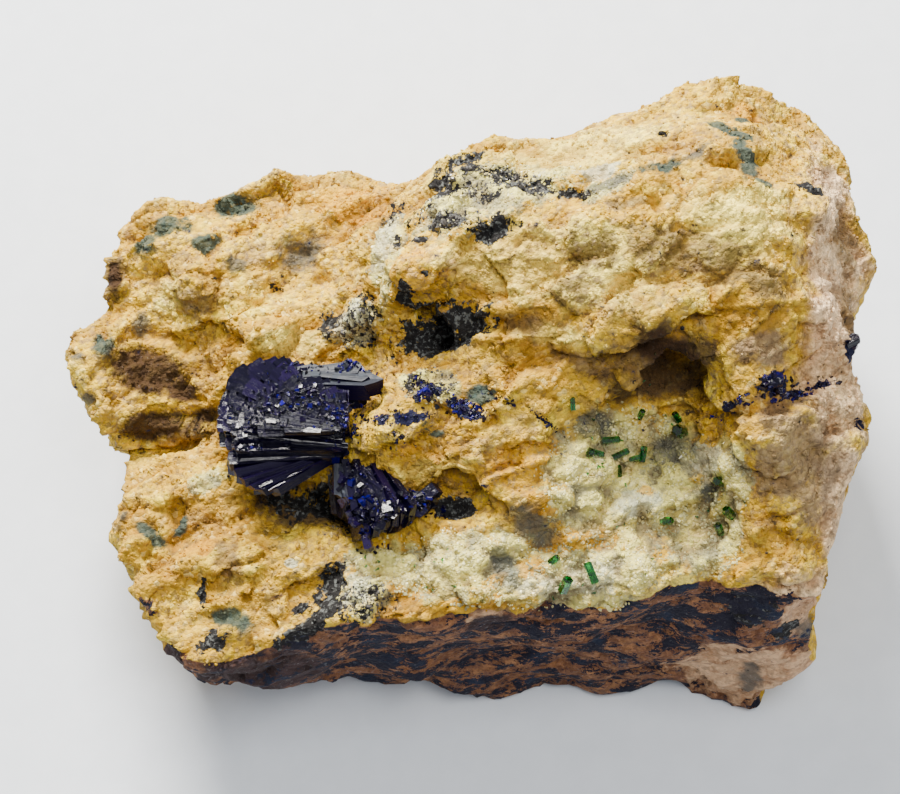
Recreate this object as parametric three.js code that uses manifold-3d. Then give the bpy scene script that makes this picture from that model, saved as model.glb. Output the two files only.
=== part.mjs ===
// Azurite specimen: one broken block of iron-stained rock with azurite and small green crystals grown on it.
// Millimetres, +Z up. The block stands on a flat sawn foot, and the origin is the middle of its box there.
//
// The rock is a gridded box pulled onto three outlines (foot, waist and rim) and a hand-shaped top: a low
// step on the left, a high mass at the right and back, a tongue between them, and an open pocket.
// Hollows that go under an edge are cut out of it. Every crystal is cut back from the rock by a small gap.

import * as THREE from "three";
import { ImprovedNoise } from "three/addons/math/ImprovedNoise.js";
import { mergeVertices } from "three/addons/utils/BufferGeometryUtils.js";
import Module from "manifold-3d";

const wasm = await Module();
wasm.setup();

// ---------- Driving dimensions ----------

const WAIST_SHARE = 0.45; // how far up its side the block is at its waist
const GRID = { x: 41, y: 31, z: 9 }; // cells along each side of the box that becomes the rock
const ROUGHNESS = { size: 6.5, depth: 1.8 }; // the coarse roughness of the broken faces
const GRAIN = { size: 2.6, depth: 0.7 }; // the finer roughness on top of it
const SOFTENING = 1.4; // how far to each side the top's height is averaged, which rounds its steps
const CRYSTAL_GAP = 0.3; // between the rock and every crystal on it
const SAW_DEPTH = 1; // how much of the rock's underside is cut away to make its foot flat

// Outlines are seen from above, anticlockwise from the right, around the middle of the block.
const FOOT_OUTLINE = [
  [26, 8], [24, 14], [20, 16.5], [14, 16], [6, 15], [-4, 15], [-14, 14.5], [-21, 13], [-23, 8], [-23, 2],
  [-21.5, -4], [-20, -10], [-17, -14], [-12, -15.5], [-5.5, -18.4], [-1.5, -19.3], [1.7, -19.8],
  [5.7, -19.3],
  [10.5, -18.9], [15.3, -19.3], [18.2, -20.4], [23.7, -20.8], [25.5, -18], [25.5, -12], [26.5, -4],
];
const WAIST_OUTLINE = [
  [29, 9], [27, 15], [24.5, 19.5], [21, 20], [14, 18.6], [6, 17.6], [-3, 17.4], [-13, 17.2], [-22, 16.5],
  [-26, 15], [-27, 10], [-28, 5], [-28, 1], [-25, -3], [-24.5, -9], [-24, -14], [-22.5, -19], [-20.9, -21.2],
  [-13, -20], [-8, -19.4], [0, -18.6], [5.7, -18.7], [15, -18.5], [24, -19.5], [26.4, -17.1], [26.4, -14.8],
  [27, -8], [28.5, 0],
];
const RIM_OUTLINE = [
  [30.4, 9.3], [29.2, 13.3], [27.6, 16.9], [25.5, 21.4], [20.6, 21.4], [14.2, 19.3], [9.7, 18.1], [6.7, 17],
  [-1.1, 16.8], [-6.1, 17.3], [-13.1, 17.5], [-17, 17.2], [-22.6, 16], [-26.2, 14.6], [-27.5, 11.2],
  [-28.2, 7.9], [-28.8, 5.6], [-31.6, 5], [-32.4, 4], [-31, 0.7], [-27.4, -1.6], [-25.9, -3.9],
  [-26.4, -7.1], [-26.4, -9.4], [-25.9, -12.6], [-24.7, -14.9], [-23.1, -17.2], [-22.5, -20.2],
  [-20.5, -20.5], [-12.4, -19.9], [-5.1, -18.5], [0.7, -17.3], [9.4, -16.7], [16.6, -15.4], [21, -15.6],
  [26.8, -15.4], [26.7, -13.1], [27.6, -8.4], [28.3, -5.5], [29.2, -3.8], [28.8, 4], [29.9, 6.1],
];

// The two masses that stand above the low step, seen from above.
const HIGH_MASS = [
  [-3, 23], [-3.2, 14.3], [-7.2, 8.5], [-6.6, 3.6], [-0.1, 2.5], [4.9, 2], [9.2, 0.2], [12.7, -0.9],
  [16.5, -0.5], [20, -4.5], [21.2, -9], [20.6, -13.2], [21.5, -19], [34, -19], [34, 23],
];
const TONGUE = [
  [-9.6, -5.2], [-8.4, -2], [-4, 1.2], [2, 3.2], [10, 2], [12, -1], [7.6, -2.6], [6, -5], [7.4, -9.5],
  [6.5, -12.2], [3, -11.5], [-0.8, -9.8], [-4.5, -9.2], [-8.3, -9.4],
];
const HIGH_WALL = [-2.8, 1.2]; // where the slope at the high mass's edge starts and ends, inwards from it
const TONGUE_WALL = [-0.9, 1]; // the same for the tongue, which is steeper

// Dents and swells of the top: where, half sizes, turn in degrees, and how far they lower or raise it.
const DENTS = [
  { at: [1, 12.6], half: [7.5, 2.2], turn: 12, depth: -1.8 }, // trough along the high mass's back
  { at: [-5.6, 10.5], half: [3, 1.8], turn: 60, depth: -1.5 }, // its end, which turns down the left wall
  { at: [-3.2, 1.2], half: [4, 1.5], turn: 15, depth: -2.4 }, // in front of the dark hole
  { at: [8.5, 3.6], half: [5, 1.5], turn: -12, depth: -1.1 }, // crease across the high mass
  { at: [14.5, 1.8], half: [3, 2.6], turn: 0, depth: -2 }, // above the pocket's brow
  { at: [12.5, 8.5], half: [7, 3], turn: 15, depth: 0.9 }, // the block's summit
  { at: [23, 6], half: [2.5, 7], turn: 0, depth: 0.8 }, // shoulder down its right side
  { at: [12, -13], half: [4.5, 2.6], turn: 0, depth: 0.7 }, // hump on the pocket's sill
  { at: [14, -7.5], half: [4.5, 4], turn: 20, depth: -1.3 }, // the pocket's floor
  { at: [-18, 10], half: [6, 4], turn: 20, depth: 1.1 }, // swell on the left step
  { at: [-23.5, 4.5], half: [4, 2.4], turn: -20, depth: -1.6 }, // hollow behind the nose
  { at: [-20, -2.8], half: [6.5, 1.3], turn: 6, depth: -1.7 }, // crease across the left step
  { at: [-19, -13], half: [5, 3], turn: 20, depth: 0.9 }, // swell below the crease
  { at: [-14.5, -1.6], half: [5, 2.6], turn: 10, depth: 1.7 }, // bed that the azurite rosette leans on
  { at: [-12, -8.6], half: [4.5, 2.2], turn: 15, depth: -2.2 }, // hollow that it stands in
  { at: [-6, -12.4], half: [3.4, 2], turn: 0, depth: -1.5 }, // hollow under the lower azurite
  { at: [23.2, 17.5], half: [3, 2.5], turn: 0, depth: -1 }, // worn back corner
];

// Hollows that go in under an edge: middle, half sizes and turn about Z in degrees.
const BURROWS = [
  { at: [-0.9, 4.4, 25.2], half: [3.4, 3.2, 1.9], turn: 18 }, // dark hole under the high mass
  { at: [-10.2, -9, 20.4], half: [4, 2, 1.7], turn: 12 }, // crevice behind the azurite
  { at: [-0.6, -9.3, 22.9], half: [2.4, 2.1, 1.3], turn: 0 }, // black pocket under the tongue
  { at: [14.6, -0.6, 26], half: [3.3, 2.8, 2.8], turn: 0 }, // roof of the pocket
  { at: [-25.4, 1.7, 15.6], half: [4.4, 1.8, 2], turn: -8 }, // slot under the nose
  { at: [-23.6, -3.4, 16.2], half: [4.4, 1.3, 1.7], turn: 4 }, // end of the crease
  { at: [3.4, -18.6, 17.6], half: [1.5, 1.7, 1.2], turn: 0 }, // nick in the dark front
];

// ---------- Plane geometry ----------

const { degToRad, lerp, smoothstep } = THREE.MathUtils;

// How far an outline reaches from the middle in one direction.
function reach(outline, angle) {
  const dx = Math.cos(angle);
  const dy = Math.sin(angle);
  let far = 0;
  outline.forEach(([ax, ay], i) => {
    const [bx, by] = outline[(i + 1) % outline.length];
    const ex = bx - ax;
    const ey = by - ay;
    const across = dx * ey - dy * ex;
    if (Math.abs(across) < 1e-9) return;
    const distance = (ax * ey - ay * ex) / across;
    const along = (ax * dy - ay * dx) / across;
    if (distance > 0 && along >= -1e-9 && along <= 1 + 1e-9) far = Math.max(far, distance);
  });
  return far;
}

// How deep a point is inside an outline, and negative outside it.
function depthInside(outline, x, y) {
  let nearest = Infinity;
  let inside = false;
  outline.forEach(([ax, ay], i) => {
    const [bx, by] = outline[(i + 1) % outline.length];
    const ex = bx - ax;
    const ey = by - ay;
    const along = THREE.MathUtils.clamp(((x - ax) * ex + (y - ay) * ey) / (ex * ex + ey * ey), 0, 1);
    nearest = Math.min(nearest, Math.hypot(x - ax - along * ex, y - ay - along * ey));
    if (ay > y !== by > y && x < ax + (ex * (y - ay)) / ey) inside = !inside;
  });
  return inside ? nearest : -nearest;
}

// 1 at the middle of a turned ellipse, falling smoothly to 0 outside it.
function swell(x, y, { at, half, turn }) {
  const a = degToRad(turn);
  const u = (Math.cos(a) * (x - at[0]) + Math.sin(a) * (y - at[1])) / half[0];
  const v = (Math.cos(a) * (y - at[1]) - Math.sin(a) * (x - at[0])) / half[1];
  return Math.exp(-(u * u + v * v));
}

// ---------- The rock's top ----------

const stepTop = (x, y) => 19.4 + 0.06 * (x + 18) + 0.03 * (y - 8);
const apronTop = (x) => 20.2 + 0.2 * (x + 12);
const pocketFloor = (y) => 22.6 + 0.25 * (y + 12);
const tongueTop = (x, y) => 25.8 + 0.28 * (y + 5) + 0.05 * x;

// The high mass falls away from its summit to the left, the back, the front and the right.
function highTop(x, y) {
  const left = 0.22 * Math.max(0, 14 - x);
  const back = 0.65 * Math.max(0, y - 12);
  const front = 0.5 * Math.max(0, 1 - y);
  const right = 1.2 * Math.max(0, x - 22);
  return 33.6 - left - back - front - right;
}

function bareHeight(x, y) {
  const front = lerp(apronTop(x), pocketFloor(y), smoothstep(x, -8, 2));
  const low = lerp(front, stepTop(x, y), smoothstep(y, -3.4, -1.6));
  const onTongue = smoothstep(depthInside(TONGUE, x, y), ...TONGUE_WALL);
  const onHigh = smoothstep(depthInside(HIGH_MASS, x, y), ...HIGH_WALL);
  const shelf = lerp(low, Math.max(low, tongueTop(x, y)), onTongue);
  const bare = lerp(shelf, Math.max(shelf, highTop(x, y)), onHigh);
  return DENTS.reduce((z, dent) => z + dent.depth * swell(x, y, dent), bare);
}

// The height of the top, averaged over a small square.
function topHeight(x, y) {
  const steps = [-SOFTENING, 0, SOFTENING];
  const heights = steps.flatMap((dx) => steps.map((dy) => bareHeight(x + dx, y + dy)));
  return heights.reduce((a, b) => a + b) / heights.length;
}

// ---------- Solids ----------

const perlin = new ImprovedNoise();
const noiseAt = (p, { size, depth }, shift) =>
  depth * perlin.noise(p.x / size + shift, p.y / size + shift, p.z / size - shift);

// Moves a point of a broken face by the rock's roughness, each axis by a part of the noise of its own.
const NOISE_SHIFTS = [11.3, 47.9, 83.1];

function roughen(p) {
  const moved = NOISE_SHIFTS.map((shift) => noiseAt(p, ROUGHNESS, shift) + noiseAt(p, GRAIN, shift));
  return p.add(new THREE.Vector3(...moved));
}

// A closed geometry with its shared vertices merged, as a solid.
function solidOf(geometry) {
  const bare = geometry.clone();
  for (const name of ["normal", "uv"]) bare.deleteAttribute(name);
  const merged = mergeVertices(bare, 1e-4);
  return new wasm.Manifold(
    new wasm.Mesh({
      numProp: 3,
      vertProperties: merged.getAttribute("position").array,
      triVerts: new Uint32Array(merged.index.array),
    }),
  );
}

function geometryOf(solid) {
  const mesh = solid.getMesh();
  const geometry = new THREE.BufferGeometry();
  geometry.setAttribute("position", new THREE.BufferAttribute(mesh.vertProperties, 3));
  geometry.setIndex(new THREE.BufferAttribute(mesh.triVerts, 1));
  geometry.computeVertexNormals();
  return geometry;
}

// The largest body of a solid, without the crumbs that a cut can leave.
const largestBody = (solid) => solid.decompose().reduce((a, b) => (a.volume() > b.volume() ? a : b));

// Pulls each vertex of the gridded box onto the block. u and v run across it and w up it, from -1 to 1.
function rockPoint(u, v, w) {
  const out = Math.max(Math.abs(u), Math.abs(v));
  const angle = Math.atan2(v, u);
  const up = (w + 1) / 2;
  const rim = reach(RIM_OUTLINE, angle);
  const waist = reach(WAIST_OUTLINE, angle);
  const foot = reach(FOOT_OUTLINE, angle);
  const below = lerp(foot, waist, up / WAIST_SHARE);
  const above = lerp(waist, rim, (up - WAIST_SHARE) / (1 - WAIST_SHARE));
  const radius = out * (up < WAIST_SHARE ? below : above);
  const x = radius * Math.cos(angle);
  const y = radius * Math.sin(angle);
  const top = topHeight(out * rim * Math.cos(angle), out * rim * Math.sin(angle));
  return new THREE.Vector3(x, y, lerp(-2 * SAW_DEPTH, top, up));
}

// Splits every four-sided cell along its shorter diagonal, which keeps steep slopes even.
function splitAlongShorter(geometry) {
  const position = geometry.getAttribute("position");
  const corners = geometry.getIndex().array;
  const corner = (i) => new THREE.Vector3().fromBufferAttribute(position, i);
  const span = (i, j) => corner(i).distanceTo(corner(j));
  for (let k = 0; k < corners.length; k += 6) {
    const [a, b, d, , c] = corners.slice(k, k + 6);
    if (span(a, c) < span(b, d)) corners.set([a, b, c, a, c, d], k);
  }
}

function blockGeometry() {
  const geometry = new THREE.BoxGeometry(2, 2, 2, GRID.x, GRID.y, GRID.z);
  const position = geometry.getAttribute("position");
  for (let i = 0; i < position.count; i++) {
    const p = roughen(rockPoint(position.getX(i), position.getY(i), position.getZ(i)));
    position.setXYZ(i, p.x, p.y, p.z);
  }
  splitAlongShorter(geometry);
  return geometry;
}

function burrowGeometry({ at, half, turn }) {
  const geometry = new THREE.IcosahedronGeometry(1, 2);
  geometry.scale(...half);
  geometry.rotateZ(degToRad(turn));
  geometry.translate(...at);
  return geometry;
}

// Everything below the foot's plane.
function sawGeometry() {
  const size = 100;
  return new THREE.BoxGeometry(size, size, size).translate(0, 0, -size / 2);
}

function rockSolid() {
  const cuts = [...BURROWS.map(burrowGeometry), sawGeometry()];
  return largestBody(cuts.reduce((rock, cut) => rock.subtract(solidOf(cut)), solidOf(blockGeometry())));
}

// ---------- Crystals ----------

const AZURITE = new THREE.MeshStandardMaterial({ color: 0x0b0b3d, roughness: 0.22, metalness: 0 });
const GREEN = new THREE.MeshStandardMaterial({ color: 0x0f6b3c, roughness: 0.2, metalness: 0 });
const ROCK = new THREE.MeshStandardMaterial({ color: 0xc9964f, roughness: 0.9, metalness: 0 });

// A blade points from its root along a swing (plan angle) and a rise (slope), rolled about its length.
function bladeFrame(root, swing, rise, roll) {
  const frame = new THREE.Object3D();
  frame.rotation.set(degToRad(roll), -degToRad(rise), degToRad(swing), "ZYX");
  frame.position.set(...root);
  frame.updateMatrix();
  return frame.matrix;
}

// A tabular crystal: narrow at its root, widest near its chisel-shaped end.
function bladeGeometry({ root, swing, rise, roll, length, width, thick }) {
  const outline = new THREE.Shape(
    [[0, -0.22], [0.72, -0.5], [0.95, -0.34], [1, 0.05], [0.93, 0.4], [0.7, 0.5], [0, 0.22]].map(
      ([along, across]) => new THREE.Vector2(along * length, across * width),
    ),
  );
  const geometry = new THREE.ExtrudeGeometry(outline, { depth: thick, bevelEnabled: false });
  geometry.translate(0, 0, -thick / 2);
  return geometry.applyMatrix4(bladeFrame(root, swing, rise, roll));
}

// A stubby six-sided prism.
function prismGeometry({ root, swing, rise, length, width }) {
  const geometry = new THREE.CylinderGeometry(width * 0.5, width * 0.5, length, 6);
  geometry.rotateZ(-Math.PI / 2);
  geometry.translate(length / 2, 0, 0);
  return geometry.applyMatrix4(bladeFrame(root, swing, rise, 15));
}

// Joins crystals that grew together, and cuts them back from the rock.
function grownOn(rock, geometries) {
  const joined = geometries.map(solidOf).reduce((a, b) => a.add(b));
  const shifts = [[0, 0, 0], [0, 0, CRYSTAL_GAP], [-CRYSTAL_GAP, 0, 0], [0, -CRYSTAL_GAP, 0]];
  return largestBody(shifts.reduce((crystal, shift) => crystal.subtract(rock.translate(shift)), joined));
}

// The rosette: an upper sheaf of upright plates, a long prism, a lower fan and a blade that points right.
const ROSETTE_ROOT = [-9, -5.2, 22.8];
const SHEAF_SWINGS = [104, 120, 136, 152, 168, 182];
const SHEAF_BLADE = { rise: 4, roll: 82, width: 6.2, thick: 2.3 };
const FAN_SWINGS = [200, 212, 224, 236];
const FAN_BLADE = { rise: -2, roll: 35, width: 2.6, thick: 1.2 };
const LONG_PRISM = { swing: 188, rise: 10, roll: 20, length: 9.9, width: 1.9, thick: 1.8 };
const RIGHT_BLADE = { swing: 356, rise: 6, roll: 25, length: 7.2, width: 2.4, thick: 1.4 };
const RIGHT_BLADE_ROOT = [-13.4, -0.9, 24.6];

function rosetteBlades() {
  const root = ROSETTE_ROOT;
  const sheafLength = (i) => 9.8 - 0.16 * (i - 4) ** 2;
  const fanLength = (i) => 9.2 - 0.8 * i;
  return [
    ...SHEAF_SWINGS.map((swing, i) => ({ root, swing, length: sheafLength(i), ...SHEAF_BLADE })),
    ...FAN_SWINGS.map((swing, i) => ({ root, swing, length: fanLength(i), ...FAN_BLADE })),
    { root, ...LONG_PRISM },
    { root: RIGHT_BLADE_ROOT, ...RIGHT_BLADE },
  ];
}

// The lower cluster: plates stacked side by side down the pocket, and a short arm to its right.
const CLUSTER_PLATE = { rise: 4, roll: 74, width: 3.4, thick: 1.4 };
const CLUSTER_ARM = { swing: 12, rise: 4, roll: 30, length: 5.4, width: 2.2, thick: 1.9 };
const CLUSTER_ARM_ROOT = [-6, -10.4, 22.2];

function lowerClusterBlades() {
  const plates = [0, 1, 2, 3, 4].map((i) => ({
    root: [-8.4 + 0.8 * i, -7.4, 21.5],
    swing: 266 + 5 * i,
    length: 6.2 - 0.4 * i,
    ...CLUSTER_PLATE,
  }));
  return [...plates, { root: CLUSTER_ARM_ROOT, ...CLUSTER_ARM }];
}

// Small azurite prisms: where seen from above, plan angle, slope, length, width and depth in the rock.
const SEAM_PRISMS = [
  { at: [-4.4, -2.6], swing: 20, rise: 14, length: 1.8, width: 1.3, sunk: 0.3 },
  { at: [-3.9, -2.7], swing: 340, rise: 24, length: 1.8, width: 1.2, sunk: 0.3 },
];
const RIGHT_PRISMS = [
  { at: [20, -3], swing: 20, rise: -8, length: 2.4, width: 1.9, sunk: 0.6 },
  { at: [20.8, -3.2], swing: 320, rise: -14, length: 2, width: 1.6, sunk: 0.5 },
];
const EDGE_PRISMS = [{ at: [27, 0.8], swing: 8, rise: -50, length: 2.2, width: 1.7, sunk: 0.5 }];

// Green prisms of the pocket: where seen from above, plan angle, slope, length and width.
const GREEN_PRISMS = [
  { at: [7.4, -3.9], swing: 95, rise: 25, length: 0.9, width: 0.4 },
  { at: [9.7, -5.5], swing: 2, rise: 8, length: 1.2, width: 0.5 },
  { at: [10.2, -6.7], swing: 24, rise: 6, length: 1.5, width: 0.5 },
  { at: [12.6, -6.6], swing: 80, rise: 20, length: 1.1, width: 0.55 },
  { at: [11.7, -6.6], swing: 10, rise: 10, length: 0.8, width: 0.4 },
  { at: [8.4, -6.3], swing: 320, rise: 45, length: 0.8, width: 0.6 },
  { at: [8.9, -6.3], swing: 340, rise: 12, length: 0.9, width: 0.4 },
  { at: [10.9, -7.7], swing: 100, rise: 35, length: 0.8, width: 0.5 },
  { at: [12.4, -3.8], swing: 60, rise: 60, length: 0.8, width: 0.5 },
  { at: [15.4, -3.8], swing: 130, rise: 40, length: 0.8, width: 0.5 },
  { at: [15.7, -4.6], swing: 200, rise: 58, length: 1.2, width: 0.9 },
  { at: [18.3, -8.8], swing: 190, rise: 55, length: 1, width: 0.7 },
  { at: [19, -11], swing: 150, rise: 50, length: 1, width: 0.7 },
  { at: [18.3, -12], swing: 120, rise: 50, length: 0.9, width: 0.6 },
  { at: [14, -11.1], swing: 350, rise: 40, length: 0.9, width: 0.6 },
  { at: [5.8, -14.3], swing: 30, rise: 40, length: 0.8, width: 0.55 },
  { at: [9, -15.8], swing: 112, rise: 14, length: 1.5, width: 0.65 },
  { at: [6.7, -16.9], swing: 60, rise: 55, length: 1.2, width: 0.85 },
];

const downwards = new THREE.Vector3(0, 0, -1);

// The rock's height straight below a point, or the foot's where there is no rock.
function surfaceAt(rockMesh, x, y) {
  const ray = new THREE.Raycaster(new THREE.Vector3(x, y, 100), downwards);
  return ray.intersectObject(rockMesh)[0]?.point.z ?? 0;
}

// Lays a prism on the rock: its axis just clears the highest rock under it, or is sunk below that.
function seated(rockMesh, prism) {
  const { at: [x, y], length, width, sunk = 0 } = prism;
  const swing = degToRad(prism.swing);
  const rise = degToRad(prism.rise);
  const heights = [0, 0.5, 1].flatMap((share) => {
    const run = share * length * Math.cos(rise);
    const climb = share * length * Math.sin(rise);
    return [-width / 2, 0, width / 2].map((side) => {
      const dx = run * Math.cos(swing) - side * Math.sin(swing);
      const dy = run * Math.sin(swing) + side * Math.cos(swing);
      return surfaceAt(rockMesh, x + dx, y + dy) - climb;
    });
  });
  return { ...prism, root: [x, y, Math.max(...heights) + CRYSTAL_GAP / 2 - sunk] };
}

// ---------- Assembly ----------

function namedMesh(name, solid, material) {
  const mesh = new THREE.Mesh(geometryOf(solid), material);
  mesh.name = name;
  return mesh;
}

const rock = rockSolid();
const rockMesh = namedMesh("matrix", rock, ROCK);
const specimen = new THREE.Group();
specimen.add(rockMesh);

const bladedAzurites = { azurite_rosette: rosetteBlades(), azurite_lower_cluster: lowerClusterBlades() };
for (const [name, blades] of Object.entries(bladedAzurites)) {
  specimen.add(namedMesh(name, grownOn(rock, blades.map(bladeGeometry)), AZURITE));
}

const smallAzurites = {
  azurite_seam_crystals: SEAM_PRISMS,
  azurite_right_crystals: RIGHT_PRISMS,
  azurite_edge_crystal: EDGE_PRISMS,
};
for (const [name, prisms] of Object.entries(smallAzurites)) {
  const geometries = prisms.map((prism) => prismGeometry(seated(rockMesh, prism)));
  specimen.add(namedMesh(name, grownOn(rock, geometries), AZURITE));
}

GREEN_PRISMS.forEach((prism, i) => {
  const name = `green_crystal_${String(i + 1).padStart(2, "0")}`;
  specimen.add(namedMesh(name, grownOn(rock, [prismGeometry(seated(rockMesh, prism))]), GREEN));
});

// Moves the middle of the block's box over the origin.
const box = new THREE.Box3().setFromObject(specimen);
const middle = box.getCenter(new THREE.Vector3());
specimen.position.set(-middle.x, -middle.y, 0);

export default specimen;
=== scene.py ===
# %% [markdown]
# # An azurite specimen
# The real thing is a broken block of ochre rock, about 62 mm wide. Deep blue azurite has grown on it as a
# rosette and smaller groups, and small green prisms stand in an open pocket lined with sugary quartz.
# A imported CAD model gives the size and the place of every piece. We load it first and keep its box, and then
# build a finer piece for each of its solids. Everything is in metres, and the specimen stands on z = 0.

import math

import bmesh
import bpy
import numpy as np
from mathutils import Matrix, Vector
from mathutils.bvhtree import BVHTree


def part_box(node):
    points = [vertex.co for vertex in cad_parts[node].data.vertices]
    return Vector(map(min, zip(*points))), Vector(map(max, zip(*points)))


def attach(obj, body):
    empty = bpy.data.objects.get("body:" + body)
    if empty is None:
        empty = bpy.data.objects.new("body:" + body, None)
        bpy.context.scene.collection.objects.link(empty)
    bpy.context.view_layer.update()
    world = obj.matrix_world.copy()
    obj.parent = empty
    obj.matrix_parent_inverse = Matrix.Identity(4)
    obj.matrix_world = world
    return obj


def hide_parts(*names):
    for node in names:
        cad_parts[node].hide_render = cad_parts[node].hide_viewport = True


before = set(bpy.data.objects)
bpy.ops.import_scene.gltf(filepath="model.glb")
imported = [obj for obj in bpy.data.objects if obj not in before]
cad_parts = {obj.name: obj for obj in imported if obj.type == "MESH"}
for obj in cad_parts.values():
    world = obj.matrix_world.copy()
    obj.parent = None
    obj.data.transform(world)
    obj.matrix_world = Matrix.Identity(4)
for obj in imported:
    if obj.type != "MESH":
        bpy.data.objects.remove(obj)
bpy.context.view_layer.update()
MM = 0.001

# %% [markdown]
# ## Camera, floor and light
# A mineral is usually looked at from steeply above, so the camera looks down at 72 degrees. A long lens far
# away keeps the block's sides nearly parallel. The light comes from behind and above, as from a window: it
# rakes over the broken top, and leaves the front face in shade. A pale floor and a pale world fill the shade.

# %% Camera
VIEW_TARGET = Vector((-1.42, -0.1, 17)) * MM
VIEW_TILT = math.radians(72)
VIEW_DISTANCE = 190 * MM
SENSOR = 36
FRAME_WIDTH = 68.7 * MM  # how much the camera sees from left to right, at the target
NEAR_CLIP = 5 * MM


def aim(thing, target):
    """Turns a camera or a light towards a point."""
    thing.rotation_mode = "QUATERNION"
    thing.rotation_quaternion = (target - thing.location).to_track_quat("-Z", "Y")


def added(name, data):
    """A new object in the scene."""
    thing = bpy.data.objects.new(name, data)
    bpy.context.scene.collection.objects.link(thing)
    return thing


camera = added("camera", bpy.data.cameras.new("camera"))
camera.location = VIEW_TARGET + VIEW_DISTANCE * Vector((0, -math.cos(VIEW_TILT), math.sin(VIEW_TILT)))
aim(camera, VIEW_TARGET)
camera.data.sensor_width = SENSOR
camera.data.lens = SENSOR * VIEW_DISTANCE / FRAME_WIDTH
camera.data.clip_start = NEAR_CLIP
bpy.context.scene.camera = camera
print("lens:", round(camera.data.lens, 1), "mm")


# %% Lights
LIGHT_TARGET = Vector((0, 0, 15)) * MM
WORLD_COLOUR, WORLD_STRENGTH = (0.93, 0.96, 1, 1), 0.55


def soft_light(name, place, size, power, tint=(1, 1, 1)):
    """A square studio light that points at the specimen."""
    light = bpy.data.lights.new(name, "AREA")
    light.size = size * MM
    light.energy = power
    light.color = tint
    lamp = added(name, light)
    lamp.location = Vector(place) * MM
    aim(lamp, LIGHT_TARGET)


soft_light("window_light", (-70, 210, 200), 110, 3.8, (1, 0.96, 0.88))
soft_light("top_light", (60, -10, 330), 140, 0.75, (1, 0.99, 0.96))

world = bpy.data.worlds.new("pale_studio")
world.use_nodes = True
sky = world.node_tree.nodes["Background"].inputs
sky["Color"].default_value, sky["Strength"].default_value = WORLD_COLOUR, WORLD_STRENGTH
bpy.context.scene.world = world

# %% [markdown]
# ## Helpers for shader nodes
# A procedural material is a small network of nodes. These helpers add one node at a time with its settings,
# so each material below reads as a recipe. Patterns are laid in object coordinates, so that each has a real
# size: the noise scale is one over the size of its grain.

# %% Node helpers
def node(tree, kind, settings=None, **inputs):
    """Adds a node; inputs are values or output sockets, by socket name or as i0, i1 and so on."""
    made = tree.nodes.new(kind)
    for key, value in (settings or {}).items():
        setattr(made, key, value)
    for key, value in inputs.items():
        by_number = key[0] == "i" and key[1:].isdigit()
        socket = made.inputs[int(key[1:]) if by_number else key.replace("_", " ")]
        if isinstance(value, bpy.types.NodeSocket):
            tree.links.new(value, socket)
        else:
            socket.default_value = value
    return made


def noise(tree, coordinates, grain_mm, detail=4, roughness=0.55, distortion=0.0):
    """Cloudy noise from 0 to 1 whose blotches are about grain_mm across."""
    made = node(tree, "ShaderNodeTexNoise", None, Vector=coordinates, Scale=1 / (grain_mm * MM),
                Detail=detail, Roughness=roughness, Distortion=distortion)
    return made.outputs["Fac"]


def math_node(tree, operation, a, b=0.5, c=0.5):
    """A sum, a product or the like of two or three values or sockets."""
    return node(tree, "ShaderNodeMath", {"operation": operation}, i0=a, i1=b, i2=c).outputs[0]


def times(tree, a, b):
    return math_node(tree, "MULTIPLY", a, b)


def ramp(tree, value, low, high, to_low=0.0, to_high=1.0):
    """A smooth step from to_low to to_high as the value goes from low to high."""
    made = node(tree, "ShaderNodeMapRange", {"interpolation_type": "SMOOTHSTEP"}, Value=value)
    for key, number in (("From Min", low), ("From Max", high), ("To Min", to_low), ("To Max", to_high)):
        made.inputs[key].default_value = number
    return made.outputs["Result"]


def mixed(tree, factor, a, b, blend="MIX"):
    """Mixes two colours; a and b are colours or sockets."""
    made = tree.nodes.new("ShaderNodeMix")
    made.data_type, made.blend_type = "RGBA", blend
    for index, value in ((0, factor), (6, a), (7, b)):
        if isinstance(value, bpy.types.NodeSocket):
            tree.links.new(value, made.inputs[index])
        else:
            made.inputs[index].default_value = value if index == 0 else (*value, 1)
    return made.outputs[2]


def object_coordinates(tree):
    return tree.nodes.new("ShaderNodeTexCoord").outputs["Object"]


def attribute(tree, name):
    return node(tree, "ShaderNodeAttribute", {"attribute_name": name}).outputs["Fac"]


def bump(tree, height, strength, distance_mm):
    made = node(tree, "ShaderNodeBump", None, Height=height, Strength=strength, Distance=distance_mm * MM)
    return made.outputs["Normal"]


def new_material(name, **principled):
    """A material with a Principled shader; names use _ for a space."""
    material = bpy.data.materials.new(name)
    material.use_nodes = True
    shader = material.node_tree.nodes["Principled BSDF"]
    for key, value in principled.items():
        shader.inputs[key.replace("_", " ")].default_value = value
    return material, material.node_tree, shader


print("node helpers ready")

# %% [markdown]
# ## A ragged edge for stains
# Stains, rust and quartz lie on the rock in patches with ragged edges. The mesh carries soft masks, one for
# each kind of patch. This node group adds noise to a soft mask and cuts it sharply, so one group gives every
# kind of patch its ragged edge, each with its own size of rag.

# %% The ragged_edge node group
FLOAT = "NodeSocketFloat"
VECTOR = ("Vector", "NodeSocketVector", None)


def new_group(name, inputs, outputs):
    """A shader node group with named sockets; inputs are (name, kind, value)."""
    group = bpy.data.node_groups.new(name, "ShaderNodeTree")
    for label, kind, value in inputs:
        socket = group.interface.new_socket(label, in_out="INPUT", socket_type=kind)
        if value is not None:
            socket.default_value = value
    for label, kind in outputs:
        group.interface.new_socket(label, in_out="OUTPUT", socket_type=kind)
    return group, group.nodes.new("NodeGroupInput").outputs, group.nodes.new("NodeGroupOutput").inputs


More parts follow.
